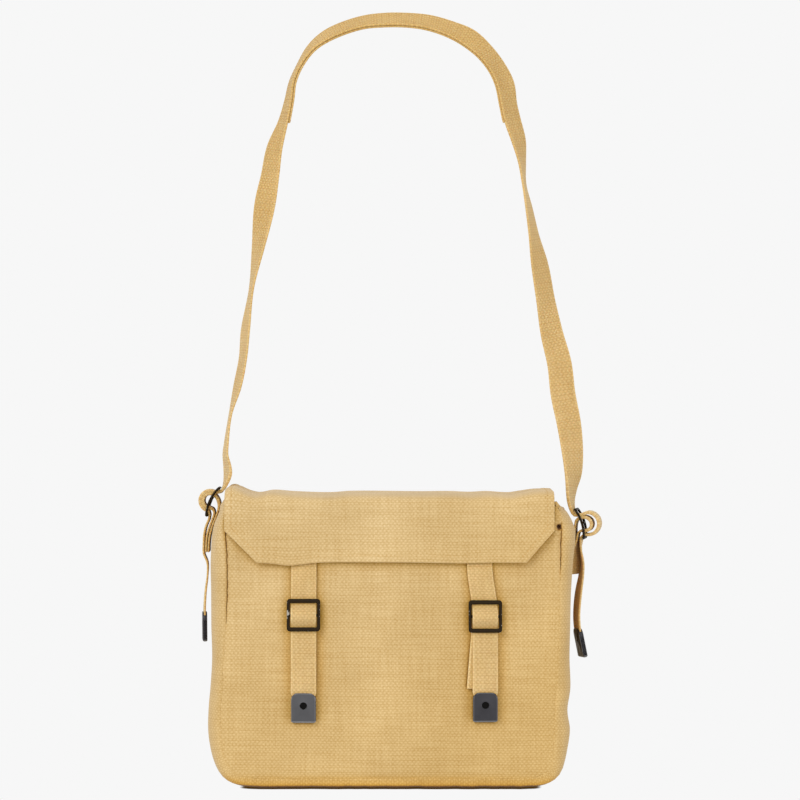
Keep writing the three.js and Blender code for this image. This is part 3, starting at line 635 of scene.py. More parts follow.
back_points = panel_points(back_face, -1, BACK_SEED, lambda x, z: 0)
back_form = lay_cloth(back_points, (0, 1, 0), straight=True)
back_panel = make_piece("back_panel_cloth", back_form, canvas_cloth, ["back_panel"])
thicken(back_panel, CANVAS, -1, 0.5)
print("panels of", len(front_points), "rows of", len(front_points[0]), "points")

# %% [markdown]
# The gusset is one strip that turns two corners. It bulges like a bellows between its two
# seams: it leaves the seam forwards, rolls over and runs back. Lofting it along its route with
# one cross-section, scaled by how far it stands out, makes that roll continuous from the mouth
# down one side, under the bag and up the other.

# %% Gusset
Route = namedtuple("Route", "x z bulge")
BASE_COLUMNS = 6
BASE = [lerp(BOTTOM.left, BOTTOM.right, i / BASE_COLUMNS) for i in range(1, BASE_COLUMNS)]
TURN_IN = [Route(-9, -462.5, 0), Route(-3.5, -459.6, 0)]  # the mouth's hem, off the seam
GUSSET_ROUTE = [
    *(Route(MOUTH.left - row.x, row.z, row.bulge) for row in TURN_IN),
    *(Route(row.left, row.z, row.left_bulge) for row in SECTIONS),
    *(Route(x, BOTTOM.z, BOTTOM.left_bulge) for x in BASE),
    *(Route(row.right, row.z, row.right_bulge) for row in reversed(SECTIONS)),
    *(Route(MOUTH.right + row.x, row.z, row.bulge) for row in reversed(TURN_IN)),
]

# From the front seam to the middle: how far forward the strip lies and how much of its bulge it
# has there, where the seam is tight. soft_y is where it lies at a soft seam, and the base
# columns are for the bottom, which stands flat on its full width.
Profile = namedtuple("Profile", "y share soft_y base_y base_share")
HALF_PROFILE = table(
    Profile,
    (-50.6, -0.02, -54.1, -54.1, -0.04),
    (-52.4, 0.05, -54.3, -54.4, 0.1),
    (-53.5, 0.15, -54.2, -54.4, 0.28),
    (-53.7, 0.28, -53.7, -54.1, 0.48),
    (-52.6, 0.44, -52.1, -53.4, 0.68),
    (-49.8, 0.61, -49.4, -51.8, 0.85),
    (-45, 0.76, -45, -48.4, 0.96),
    (-37.5, 0.89, -37.5, -42, 1),
    (-27, 0.965, -27, -30, 1),
    (-14, 0.99, -14, -15, 1),
    (0, 1, 0, 0, 1),
)
BACK_PROFILE = [
    Profile(-row.y, row.share, -row.soft_y, -row.base_y, row.base_share)
    for row in reversed(HALF_PROFILE[:-1])
]
GUSSET_PROFILE = [*HALF_PROFILE, *BACK_PROFILE]
PROFILE_STEP = 0.4
CREASE = 1.5  # depth of the soft creases along the gusset's rolled edges
CREASE_LENGTH = 21
BASE_STARTS = 696  # the gusset takes the flat section of its base from this far down
GUSSET_SPACING = 3.4
Dent = namedtuple("Dent", "z tall deep")
CHAPE_DENT = Dent(-516, 19, 4.0)


def heading(rows, place):
    """Unit direction of a route in its first two columns."""
    step = 0.02
    before = along(rows, max(place - step, 0))
    after = along(rows, min(place + step, len(rows) - 1))
    return (Vector(after).xy - Vector(before).xy).normalized()


def chape_dent(x, y, z):
    """The dent that the sewn end of the right side chape presses into the gusset."""
    across = ease(-y, -14, 4) * (1 - ease(-y, 16, 32))
    return CHAPE_DENT.deep * (x > 0) * bell(z, CHAPE_DENT.z, CHAPE_DENT.tall) * across


def gusset_points():
    rows = []
    profile_places = [i * PROFILE_STEP for i in range(int((len(GUSSET_PROFILE) - 1) / PROFILE_STEP) + 1)]
    travelled = 0
    last = None
    for place in stations(GUSSET_ROUTE, GUSSET_SPACING):
        here = along(GUSSET_ROUTE, place)
        towards = heading(GUSSET_ROUTE, place)
        outward = Vector((towards.y, 0, -towards.x))
        middle = Vector((here.x, 0, here.z))
        travelled += (middle - last).length if last else 0
        last = middle
        row = []
        for profile_place in profile_places:
            spot = along(GUSSET_PROFILE, profile_place)
            based = ease(-here.z, BASE_STARTS, -BOTTOM.z)
            side_y = lerp(spot.soft_y, spot.y, ease(tightness(here.x, here.z), SLACK_SEAM, 1))
            spot = spot._replace(
                y=lerp(side_y, spot.base_y, based),
                share=lerp(spot.share, spot.base_share, based),
            )
            stand = here.bulge * spot.share - chape_dent(here.x, spot.y, here.z)
            front = 1 if spot.y < 0 else -1
            edge = bell(abs(spot.y), 52, 9)
            sink = CREASE * edge * (0.5 + 0.5 * rough(travelled, spot.y * 0.4, CREASE_LENGTH, 31.0))
            sink += 0.6 * edge * rough(travelled, spot.y, PUCKER_LENGTH, 41.0)
            share = clamp(spot.share * 3)
            y = spot.y + front * sink * share * 0.7
            stand -= sink * share * 0.8 + 0.7 * (0.5 + 0.5 * rough(travelled, spot.y, 40, 51.0)) * share
            strayed = seam_wander(here.x, here.z) * (1 - share) * abs(outward.x)
            row.append(middle + outward * stand + Vector((strayed, y, 0)))
        rows.append(row)
    return rows


gusset_rows = gusset_points()
gusset_form = lay_cloth(gusset_rows, (0, 0, -1))
gusset = make_piece("gusset_cloth", gusset_form, canvas_cloth, ["gusset"])
thicken(gusset, CANVAS, -1, 0.5)
print("gusset of", len(gusset_rows), "rows of", len(gusset_rows[0]), "points")

# %% [markdown]
# The flap is a separate sheet, sewn to the back, that falls over the mouth and down the front.
# It is hemmed all round: the canvas is turned over once, so its edge is twice as thick and has
# a line of stitches a little way in. It is modelled by its rows from the back hem to the front
# hem, and the last rows are narrower, which cuts the two corners off.

# %% Flap
Fold = namedtuple("Fold", "y z left right hug crest")
FLAP = table(
    Fold,
    (56.2, -486, -160, 146, 1, 0),
    (56.2, -471, -162, 147, 1, 0),
    (56.2, -457.5, -164, 147.2, 1, 0),
    (50.5, -450, -166, 147.2, 0.4, 0.5),
    (28, -447.5, -167, 147.2, 0, 1),
    (0, -448, -167.4, 147.2, 0, 1),
    (-28, -448, -167.4, 147.2, 0, 1),
    (-46, -448.4, -167.4, 147.2, 0.2, 1),
    (-55, -451.2, -167.4, 147.2, 0.7, 0.8),
    (-58.2, -457.5, -167.4, 147.2, 1, 0.3),
    (-58.6, -470, -167.4, 147.2, 1, 0),
    (-58.6, -485, -167.4, 147.2, 1, 0),
    (-58.6, -500, -152.4, 134, 1, 0),
    (-58.8, -516, -136.7, 120.6, 1, 0),
)
FLAP_HEM = FLAP[-1]
FLAP_CORNER = FLAP[11]  # the cut corners start here
Wave = namedtuple("Wave", "x rise")
CREST = table(
    Wave,
    (-168, 0.5), (-163, 3.6), (-155, 2.4), (-146, -2.0), (-138, -4.2), (-124, -1.3), (-104, -3.0),
    (-67, -4.4), (-50, -2.8), (20, -3.2), (50, -3.0), (68, -4.0), (84, -3.0), (107, -4.4),
    (117, -2.4), (131, -0.2), (141, -0.2), (148, -0.8),
)
HEM_WAVES = table(
    Wave,
    (-137, 0.6), (-121, -0.4), (-106, -2.2), (-93, -1.0), (-79, 0.5), (-40, 1.0), (20, 0.7),
    (60, 0), (88, 0.5), (121, 0.4),
)
HEM = 9  # width of the turned hem
HEM_LIFT = 0.7
CORNER_LIFT = 2.6  # the cut corners stand off the panel this much more
CORNER_REACH = 15
STITCH_LINE = 6.5  # from the edge of the flap to its stitches
DIMPLE = 0.3  # the stitches pull the hem in this much
FLAP_SPACING = 2.6
FLAP_EDGE = [0, 0.8, 2, 3.4, 5, 6.4, 7.6, 9, 10.6, 13]  # columns next to an edge
FLAP_INNER = 16
FLAP_COLUMNS = 88


def wave_at(waves, x):
    """The rise of a table of waves at x."""
    after = next((i for i, wave in enumerate(waves) if wave.x >= x), len(waves) - 1)
    after = max(after, 1)
    low, high = waves[after - 1], waves[after]
    share = clamp((x - low.x) / (high.x - low.x))
    return along(waves, after - 1 + share).rise


def flap_edges(place):
    """Where the flap's left and right edges lie at a place, straight from row to row."""
    low = min(int(place), len(FLAP) - 2)
    share = place - low
    return [lerp(getattr(FLAP[low], side), getattr(FLAP[low + 1], side), share) for side in ("left", "right")]


def flap_point(place, x):
    """A point on the outer face of the flap."""
    fold = along(FLAP, place)
    left, right = flap_edges(place)
    z = fold.z + fold.crest * wave_at(CREST, x)
    z += wave_at(HEM_WAVES, x) * ease(fold.z, -490, FLAP_HEM.z) * (fold.y < 0)
    stand = BACK_BELLY * belly(x, z) if fold.y > 0 else -belly(x, z)
    to_hem = abs(fold.z - (FLAP_HEM.z if fold.y < 0 else FLAP[0].z))
    corner = 0.7 if fold.z < FLAP_CORNER.z and fold.y < 0 else 1
    to_edge = min(corner * (x - left), corner * (right - x), to_hem if abs(fold.y) > 50 else HEM * 2)
    out = HEM_LIFT * (1 - ease(to_edge, HEM - 1, HEM + 1.5)) - DIMPLE * bell(to_edge, STITCH_LINE, 1.3)
    out += 0.55 * (0.5 + 0.5 * rough(x, z + fold.y, 42, 61.0))
    out += 0.25 * rough(x, z + fold.y, 11, 67.0) * math.exp(-to_edge / 9)
    if fold.y < 0:
        cut = ease(-fold.z, -FLAP_CORNER.z - 6, -FLAP_CORNER.z + 8)
        to_cut = 0.7 * min(x - left, right - x)
        out += CORNER_LIFT * cut * math.exp(-((to_cut / CORNER_REACH) ** 2))
    lean = clamp(fold.y / 50, -1, 1)
    up = Vector((0, lean, math.sqrt(1 - lean * lean)))
    return Vector((x, fold.y + fold.hug * stand, z)) + up * out


def flap_points():
    rows = []
    for place in stations([row[:2] for row in FLAP], FLAP_SPACING):
        left, right = flap_edges(place)
        shares = [i / FLAP_COLUMNS for i in range(FLAP_COLUMNS + 1)]
        inner = [lerp(left + FLAP_INNER, right - FLAP_INNER, share) for share in shares]
        xs = [*(left + e for e in FLAP_EDGE), *inner, *(right - e for e in reversed(FLAP_EDGE))]
        rows.append([flap_point(place, x) for x in xs])
    return rows


flap_rows = flap_points()
flap_form = lay_cloth(flap_rows, (0, 0, 1), straight=True)
flap_area = sum(face.calc_area() for face in flap_form.faces) * MM * MM
flap = make_piece("flap_cloth", flap_form, canvas_cloth, ["flap"])
thicken(flap, CANVAS, -1, 0.6)

# %% [markdown]
# Webbing is woven to its width, so it bends one way only and keeps its edges. Each strap is a
# narrow grid that is carried along a route: the table gives where its middle goes and how far
# it is turned about its own length, from edge-on to face-on. The turn is what makes the strap
# look wide here and thin there, although its width never changes.

# %% The route of the shoulder strap
Turn = namedtuple("Turn", "x z turn")
STRAP_END = 1.55  # the webbing stops this far above the bottom of its tip
LEFT_TAIL = table(
    Turn,
    (-189.3, -593.6 + STRAP_END, 5), (-189.4, -581, 5), (-189.5, -568.4, 5), (-189.4, -559, 5),
    (-188.4, -545.1, 4), (-186.6, -530.6, 3), (-186.6, -518, 2), (-189.9, -509.5, 1),
    (-189.9, -500, 0), (-189.3, -490, 0), (-187.4, -482, 0), (-184.8, -476, 0), (-184.1, -471.8, 0),
)
LEFT_BIGHT = table(
    Turn,
    (-185.4, -468.7, 0), (-188.9, -467.3, 0), (-192.7, -463.2, 0), (-194, -457.8, 0),
    (-192.5, -452.6, 0), (-188.2, -448.7, 0), (-182.8, -448.2, 0), (-177.6, -449.7, 0),
    (-173.4, -448.6, 1),
)
LEFT_ARM = table(
    Turn,
    (-171.1, -445, 4), (-169.3, -440, 9), (-167.7, -433, 16), (-167.8, -425, 17),
    (-169.3, -414, 13), (-168.3, -401.6, 10), (-164.4, -374.4, 7), (-157.6, -347.3, 19),
    (-152.3, -320.1, 19), (-149.9, -292.9, 21), (-144, -252.2, 11), (-137.3, -211.5, 32),
    (-131, -170.7, 58), (-126.1, -143.6, 48), (-121.7, -116.4, 40),
)
PADDED_CROWN = table(
    Turn,
    (-113.5, -91.2, 24), (-108.4, -69.8, 17), (-105.2, -52.4, 12), (-98, -35.9, 11),
    (-86.3, -18.4, 19), (-69.8, -5.8, 28), (-38.8, 5.8, 31), (-14.6, 8.7, 34), (9.7, 8.4, 35),
    (29.1, 5.8, 38), (50.4, -1, 42), (67.9, -9.7, 50), (83.4, -23.3, 44), (95.1, -38.8, 43),
    (102.3, -54.3, 46), (105.7, -73.7, 41), (109.4, -90.2, 42),
)
RIGHT_ARM = table(
    Turn,
    (114.9, -108.6, 36), (118.3, -130, 18), (120.3, -150.4, 9), (125.1, -174.6, 16),
    (130, -201.8, 25), (135.8, -230.9, 44), (141.6, -265.8, 50), (147.4, -296.8, 66),
    (154.7, -325.9, 80), (158.1, -355, 86), (163.9, -384.1, 77), (167.3, -411.3, 60),
    (168.3, -432.6, 42), (166.9, -447, 22), (166.4, -457.8, 8),
)
RIGHT_BIGHT = table(
    Turn,
    (168, -467.4, 1), (170.7, -471.5, 0), (175.1, -471.7, 0), (178.9, -470.1, 0), (183, -468.9, 0),
    (188.6, -470.5, 0), (192.8, -474.7, 0), (194.3, -480.5, 0), (192.7, -486.3, 0),
    (188.5, -490.5, 0), (182.9, -491.6, 0), (179.2, -490.6, 0),
)
RIGHT_TAIL = table(
    Turn,
    (176.5, -493.4, 0), (175.8, -498.5, 0), (175.3, -506, -1), (176.8, -519, -3),
    (175.9, -530.6, -6), (173, -549, -10), (171.4, -568.4, -10), (172, -581, -10),
    (173.7, -590.5, -10), (175.4, -599.1, -10), (177.1, -607.7, -10),
)
STRAP = [*LEFT_TAIL, *LEFT_BIGHT, *LEFT_ARM, *PADDED_CROWN, *RIGHT_ARM, *RIGHT_BIGHT, *RIGHT_TAIL]
PAD_FIRST = STRAP.index(PADDED_CROWN[0])
PAD_LAST = STRAP.index(PADDED_CROWN[-1])
print("strap of", len(STRAP), "rows, doubled from row", PAD_FIRST, "to row", PAD_LAST)

# %% Bands of webbing along a route
Y_AXIS = Vector((0, 1, 0))
FULLER = 1.3  # loose webbing is this much thicker than where it is pressed between layers
WEBBING_COLUMNS = 8
WEBBING_SIDES = [(i / WEBBING_COLUMNS - 0.5) * WEBBING_WIDTH for i in range(WEBBING_COLUMNS + 1)]
WEBBING_SPACING = 3.2


def band_frame(route, place):
    """The middle of a band at a place, the direction across it, and out of its outer face."""
    row = along(route, place)
    towards = heading(route, place)
    outward = Vector((towards.x, 0, towards.y)).cross(Y_AXIS).normalized()
    turn = math.radians(row.turn)
    across = -Y_AXIS * math.cos(turn) - outward * math.sin(turn)
    normal = outward * math.cos(turn) - Y_AXIS * math.sin(turn)
    return Vector((row.x, 0, row.z)), across, normal


Tip = namedtuple("Tip", "width height shoulder foot wall slot")
TIP = Tip(23.4, 27.6, 6, 1, 0.8, 2.7)
PINCH = 0.16  # the share by which the webbing is narrower inside a tip
Swivel = namedtuple("Swivel", "z degrees")
BUCKLE_SWIVEL = table(
    Swivel,
    (-440, 0), (-462, 8), (-494, 8), (-514, 0),
)
CHAPE_SWIVEL = table(
    Swivel,
    (-440, 0), (-462, 8), (-494, 8), (-506, 24), (-520, 30), (-540, 32),
)
SWIVEL_X = 173


def swivelled(point, table):
    """The point turned about the upright axis of the right side hardware, by a table of turns."""
    if point.x < 0 or point.z > table[0].z or point.z < table[-1].z:
        return point
    above = max(i for i, row in enumerate(table[:-1]) if row.z >= point.z)
    high, low = table[above], table[above + 1]
    share = ease(high.z - point.z, 0, high.z - low.z)
    axis = Vector((SWIVEL_X, 0, 0))
    turned = Matrix.Rotation(-math.radians(lerp(high.degrees, low.degrees, share)), 3, "Z")
    return turned @ (point - axis) + axis


def pinch_into_tip(rows):
    """Narrows the webbing inside its tip. The first of the rows is its end."""
    middle = WEBBING_COLUMNS // 2
    travelled = STRAP_END
    for row, following in zip(rows, rows[1:]):
        inside = PINCH * (1 - ease(travelled, TIP.height - 4, TIP.height - 0.5))
        row[:] = [point.lerp(row[middle], inside) for point in row]
        travelled += (following[middle] - row[middle]).length


def full_at(place, spans):
    """1 inside a span of a route and 0 outside all of them, with soft ends."""
    return max(
        ease(place, first - 1, first + 1) * (1 - ease(place, last - 1, last + 1))
        for first, last in spans
    )


def band_points(route, first=0, last=None, shift=0.0, spacing=WEBBING_SPACING, spans=(),
                turns=BUCKLE_SWIVEL):
    """Rows of points along the middle of a band. shift moves it towards its outer face.

    In a span the webbing is fuller, on its inner side."""
    rows = []
    for place in stations(route, spacing, first, last):
        middle, across, normal = band_frame(route, place)
        inset = shift - (FULLER / 2 * full_at(place, spans) if spans else 0)
        rows.append([swivelled(middle + across * side + normal * inset, turns) for side in WEBBING_SIDES])
    return rows


def make_band(name, points, outward, nodes, fullness=None):
    form = lay_cloth(points, outward, fullness=fullness)
    piece = make_piece(name, form, webbing_cloth, nodes)
    if not fullness:
        return thicken(piece, WEBBING, 0, 0.7)
    piece.vertex_groups.new(name="full")
    thicken(piece, WEBBING + FULLER, 0, 0.7)
    wall = piece.modifiers["thickness"]
    wall.vertex_group = "full"
    wall.thickness_vertex_group = WEBBING / (WEBBING + FULLER)
    return piece


BIGHTS = [
    (len(LEFT_TAIL), len(LEFT_TAIL) + len(LEFT_BIGHT) + 3),
    (PAD_LAST + len(RIGHT_ARM) - 2, PAD_LAST + len(RIGHT_ARM) + len(RIGHT_BIGHT) - 1),
]
strap_points = band_points(STRAP, spans=BIGHTS)
pinch_into_tip(strap_points)
pinch_into_tip(strap_points[::-1])
strap_fullness = [full_at(place, BIGHTS) for place in stations(STRAP, WEBBING_SPACING)]
make_band("shoulder_strap_webbing", strap_points, (0, 0, 1), ["shoulder_strap"], strap_fullness)
pad_points = band_points(STRAP, PAD_FIRST, PAD_LAST, -PLY)
make_band("shoulder_pad_webbing", pad_points, (0, 0, 1), ["shoulder_pad"])
strap_length = sum((b[4] - a[4]).length for a, b in zip(strap_points, strap_points[1:]))
print("shoulder strap", round(strap_length), "mm long")

# %% [markdown]
# Each side buckle hangs on a chape, a short piece of webbing that is folded round the buckle's
# centre bar and sewn to the gusset with both its ends together. It is the same kind of band as
# the strap, so one route goes up one layer, round the bar and down the other.

# %% Side chapes
CHAPE_ROUTES = {
    "left": table(
        Turn,
        (-185.2, -508, 0), (-184.9, -500, 0), (-183.9, -491.5, 0), (-181.9, -484, 0),
        (-178.9, -476, 0), (-176.3, -469, 0), (-175.4, -463.5, 0), (-176.4, -458, 0),
        (-179.4, -453.6, 0), (-184, -451.9, 0), (-188.4, -453.9, 0), (-190, -458.3, 0),
        (-188.3, -462.6, 0), (-184.5, -464.4, 0), (-181, -466, 0), (-179.6, -470, 0),
        (-181.5, -476.4, 0), (-184.5, -484.6, 0), (-186.6, -492.2, 0), (-187.3, -500.2, 0),
        (-187.6, -508, 0),
    ),
    "right": table(
        Turn,
        (170.5, -529.6, 0), (171.2, -515, 0), (172.1, -500.4, 0), (172.8, -493, 0),
        (174.1, -488.6, 0), (176.8, -486.8, 0), (180.6, -486.6, 0), (184.4, -484.9, 0),
        (186, -481.4, 0), (185, -477.6, 0), (181.4, -475, 0), (176.4, -475, 0), (172.2, -477.6, 0),
        (170.7, -482.5, 0), (170.4, -490, 0), (169.8, -500, 0), (168.9, -515, 0),
        (168.2, -529.6, 0),
    ),
}
CHAPE_BIGHTS = {"left": [(6, 14)], "right": [(5, 12)]}
for side, route in CHAPE_ROUTES.items():
    spans = CHAPE_BIGHTS[side]
    points = band_points(route, spacing=2, spans=spans, turns=CHAPE_SWIVEL)
    fullness = [full_at(place, spans) for place in stations(route, 2)]
    make_band(f"side_chape_{side}_webbing", points, (1, 0, 0), [f"side_chape_{side}"], fullness)
print("side chapes:", len(CHAPE_ROUTES))

# %% [markdown]
# The closure straps lie on the front panel. They come out from under the flap, dive up through
# the buckle over its centre bar, and lie on the chape below it, which is the short piece of
# webbing that holds the buckle. The chape is sewn flat and loops round the bar. Their height
# over the panel is a short table, and the panel's own face is added to it.

# %% Closure straps and their chapes
Lie = namedtuple("Lie", "z lift")
ON_PANEL = GAP + WEBBING / 2
ON_CHAPE = ON_PANEL + PLY
CHAPE_DROP = 69  # from the buckle's middle down to the lower end of its chape
CHAPE_REST = [46, 25, 6]
PIN_LIFT = 4  # height of the buckle's centre bar over the panel
LOOP_TURNS = [-90, -45, 0, 45, 90, 130]
TUCK = table(
    Lie,
    (17, ON_PANEL), (11.5, ON_PANEL), (8.5, 2.6), (5.6, 5.3), (3.2, 7.8), (0, 8.9), (-3.2, 8.3),
    (-5.8, 6.3), (-8.6, 4.4), (-11.8, ON_CHAPE), (-17, ON_CHAPE),
)
TIP_LIFT = GAP + TIP.wall + TIP.slot / 2
Buckle = namedtuple("Buckle", "width height corner side bar thick pin")
BUCKLE = Buckle(32, 31, 3, 3.1, 2.4, 2.4, 1.3)
WIDE_BAR = 4  # the top and bottom of a closure buckle's frame


def slope_across(x, z):
    """How steeply the panel falls away across a strap's width."""
    half = WEBBING_WIDTH / 2
    return (front_face(x + half, z) - front_face(x - half, z)) / WEBBING_WIDTH


def tip_plane(closure):
    """The flat plane that a strap's tip lies on: its slope across, and its y at x and z."""
    low, high = closure.tip_z, closure.tip_z + TIP.height
    x = closure.buckle_x
    slope = (slope_across(x, low) + slope_across(x, high)) / 2
    ends = front_face(x, low), front_face(x, high)

    def plane(at_x, at_z):
        return lerp(*ends, (at_z - low) / (high - low)) + slope * (at_x - x)

    return slope, plane


def lying_points(profile, middle_at, skin, spacing=2.4):
    """Rows of points along webbing that lies on a surface y = skin(x, z)."""
    rows = []
    for place in stations(profile, spacing):
        here = along(profile, place)
        middle = middle_at(here.z)
        xs = [middle + side for side in WEBBING_SIDES]
        rows.append([Vector((x, skin(x, here.z) - here.lift, here.z)) for x in xs])
    return rows


def make_closure_strap(closure):
    slope, plane = tip_plane(closure)
    tip_top = closure.tip_z + TIP.height
    profile = [
        Lie(CLOSURE_TOP, ON_PANEL),
        Lie((CLOSURE_TOP + CLOSURE_HEM) / 2, ON_PANEL),
        Lie(CLOSURE_HEM, ON_PANEL),
        *(Lie(closure.buckle_z + row.z, row.lift) for row in TUCK),
        Lie(closure.buckle_z - CHAPE_DROP / 2, ON_CHAPE),
        Lie(closure.buckle_z - CHAPE_DROP, ON_CHAPE),
        Lie(tip_top, TIP_LIFT),
        Lie(closure.tip_z + TIP.height / 2, TIP_LIFT),
        Lie(closure.tip_z + STRAP_END, TIP_LIFT),
    ]
    points = lying_points(
        profile,
        lambda z: strap_middle(closure, z),
        lambda x, z: front_face(x, z) if z > tip_top else plane(x, z),
    )
    pinch_into_tip(points[::-1])
    make_band(f"closure_strap_{closure.side}_webbing", points, (0, -1, 0), [f"closure_strap_{closure.side}"])


def chape_middle(closure, z):
    end = closure.buckle_z - CHAPE_DROP
    return lerp(closure.chape_x, closure.buckle_x, (z - end) / CHAPE_DROP)


def make_closure_chape(closure):
    loop_radius = BUCKLE.pin + GAP + WEBBING / 2
    lying = [Lie(closure.buckle_z - below, ON_PANEL) for below in (CHAPE_DROP, *CHAPE_REST)]
    loop = []
    for turn in LOOP_TURNS:
        angle = math.radians(turn)
        z = closure.buckle_z + loop_radius * math.cos(angle)
        loop.append(Lie(z, PIN_LIFT + loop_radius * math.sin(angle)))
    points = lying_points([*lying, *loop], lambda z: chape_middle(closure, z), front_face, 1.6)
    make_band(f"closure_chape_{closure.side}_webbing", points, (0, -1, 0), [f"closure_chape_{closure.side}"])


for closure in CLOSURES:
    make_closure_strap(closure)
    make_closure_chape(closure)
print("closures:", [closure.side for closure in CLOSURES])

# %% [markdown]
# A tuck buckle is a square of steel rod with a bar across its middle. Its section is a rounded
# square, so the frame is lofted: a loop of points follows the outline, and each next loop lies
# a little further round the section of the rod. The bar is a plain round rod.

# %% Rings of metal
ARC_STEPS = 5
EDGE_STEPS = 9
Loop = namedtuple("Loop", "width height top foot middle depth")


def outline_loop(form, loop):
    """A loop of edges round a rectangle with rounded corners, upright at a depth."""
    steps = ARC_STEPS + EDGE_STEPS
    made = bmesh.ops.create_circle(form, segments=4 * steps, radius=1)["verts"]
    corners = [(1, 1, loop.top), (-1, 1, loop.top), (-1, -1, loop.foot), (1, -1, loop.foot)]

    def arc(quarter, share):
        side_x, side_z, radius = corners[quarter % 4]
        angle = math.radians(90 * (quarter % 4 + share))
        x = side_x * (loop.width / 2 - radius) + radius * math.cos(angle)
        z = side_z * (loop.height / 2 - radius) + radius * math.sin(angle)
        return Vector((x, loop.depth, z + loop.middle))

    for index, vertex in enumerate(made):
        quarter, step = divmod(index, steps)
        if 2 * loop.top >= loop.width:
            vertex.co = arc(quarter, step / steps)
        elif step <= ARC_STEPS:
            vertex.co = arc(quarter, step / ARC_STEPS)
        else:
            vertex.co = arc(quarter, 1).lerp(arc(quarter + 1, 0), (step - ARC_STEPS) / EDGE_STEPS)
    return list(dict.fromkeys(edge for vertex in made for edge in vertex.link_edges))


def loft_ring(form, loops):
    """Bridges each loop to the next, and the last to the first."""
    rings = [outline_loop(form, loop) for loop in loops]
    for ring, following in zip(rings, [*rings[1:], rings[0]]):
        bmesh.ops.bridge_loops(form, edges=[*ring, *following])


def standing(origin, up, outward):
    """Stands a form with its own +Z up and its -Y outward."""
    inward = (-outward + up * outward.dot(up)).normalized()
    across = inward.cross(up).normalized()
    turned = Matrix((across, inward, up)).transposed().to_4x4()
    return Matrix.Translation(origin) @ turned


# %% Buckles
SECTION_STEPS = 16
SQUARENESS = 0.55  # below 1 the rod's section is squarer than round
SIDE_BOW = 3
Spot = namedtuple("Spot", "x z reach")
BARE_SPOT = Spot(-14.4, 1.2, 2.2)  # the left closure buckle is worn bare here


def rod_loops(bar):
    """Loops round the section of the frame, from its outer edge over its front."""
    loops = []
    for step in range(SECTION_STEPS):
        angle = math.tau * step / SECTION_STEPS
        cos, sin = math.cos(angle), math.sin(angle)
        inset = 0.5 - 0.5 * math.copysign(abs(cos) ** SQUARENESS, cos)
        depth = -0.5 * BUCKLE.thick * math.copysign(abs(sin) ** SQUARENESS, sin)
        width = BUCKLE.width - 2 * BUCKLE.side * inset
        height = BUCKLE.height - 2 * bar * inset
        corner = lerp(BUCKLE.corner, 1, inset)
        loops.append(Loop(width, height, corner, corner, 0, depth))
    return loops


def buckle_form(bow, set_back, bar=BUCKLE.bar, bare=False):
    """A square frame with a centre bar, facing -Y. set_back is where its bar lies behind it."""
    form = bmesh.new()
    wear = form.verts.layers.float.new("wear")
    loft_ring(form, rod_loops(bar))
    for vertex in form.verts:
        x, y, z = vertex.co
        rim = max(abs(x) / (BUCKLE.width / 2), abs(z) / (BUCKLE.height / 2))
        vertex[wear] = 0.42 + 0.16 * (y < -0.7) * (rim > 0.95)
        if bare:
            near = bell(x, BARE_SPOT.x, BARE_SPOT.reach) * bell(z, BARE_SPOT.z, BARE_SPOT.reach)
            vertex[wear] += 0.6 * near
        vertex.co.y -= bow * (1 - (z / (BUCKLE.height / 2)) ** 2)
    turned = Matrix.Translation((0, set_back - bow, 0)) @ Matrix.Rotation(math.pi / 2, 4, "Y")
    pin = bmesh.ops.create_cone(form, cap_ends=True, segments=20, radius1=BUCKLE.pin,
                                radius2=BUCKLE.pin, depth=BUCKLE.width - BUCKLE.side, matrix=turned)
    for vertex in pin["verts"]:
        vertex[wear] = 0.45
    bmesh.ops.recalc_face_normals(form, faces=form.faces)
    for face in form.faces:
        face.smooth = len(face.verts) == 4
    return form


def make_buckle(name, form, origin, up, outward, node):
    bmesh.ops.transform(form, matrix=standing(origin, up, outward), verts=form.verts)
    for vertex in form.verts:
        vertex.co = swivelled(vertex.co, BUCKLE_SWIVEL) if node.startswith("side") else vertex.co
    return make_piece(name, form, black_paint, [node])


TOP_BAR_LIFT = ON_PANEL + PLY / 2 + BUCKLE.thick / 2 + GAP / 2
BOTTOM_BAR_LIFT = TOP_BAR_LIFT + PLY
for closure in CLOSURES:
    reach = (BUCKLE.height - WIDE_BAR) / 2
    x, z = closure.buckle_x, closure.buckle_z
    top_bar = Vector((x, front_face(x, z + reach) - TOP_BAR_LIFT, z + reach))
    bottom_bar = Vector((x, front_face(x, z - reach) - BOTTOM_BAR_LIFT, z - reach))
    middle = (top_bar + bottom_bar) / 2
    up = (top_bar - bottom_bar).normalized()
    form = buckle_form(0, front_face(x, z) - PIN_LIFT - middle.y, WIDE_BAR, closure.side == "left")
    outward = Vector((slope_across(x, z), -1, 0))
    node = f"closure_buckle_{closure.side}"
    make_buckle(f"{node}_frame", form, middle, up, outward, node)

SideBuckle = namedtuple("SideBuckle", "side x z lean out")
SIDE_BUCKLES = table(
    SideBuckle,
    ("left", -180.9, -459.3, 24.4, -1),
    ("right", 174.85, -480.6, 16.5, 1),
)
for buckle in SIDE_BUCKLES:
    angle = math.radians(buckle.lean)
    up = Vector((-buckle.out * math.sin(angle), 0, math.cos(angle)))
    outward = Vector((buckle.out * math.cos(angle), 0, math.sin(angle)))
    origin = Vector((buckle.x, 0, buckle.z))
    node = f"side_buckle_{buckle.side}"
    make_buckle(f"{node}_frame", buckle_form(SIDE_BOW, 0), origin, up, outward, node)
print("buckles:", len(CLOSURES) + len(SIDE_BUCKLES))

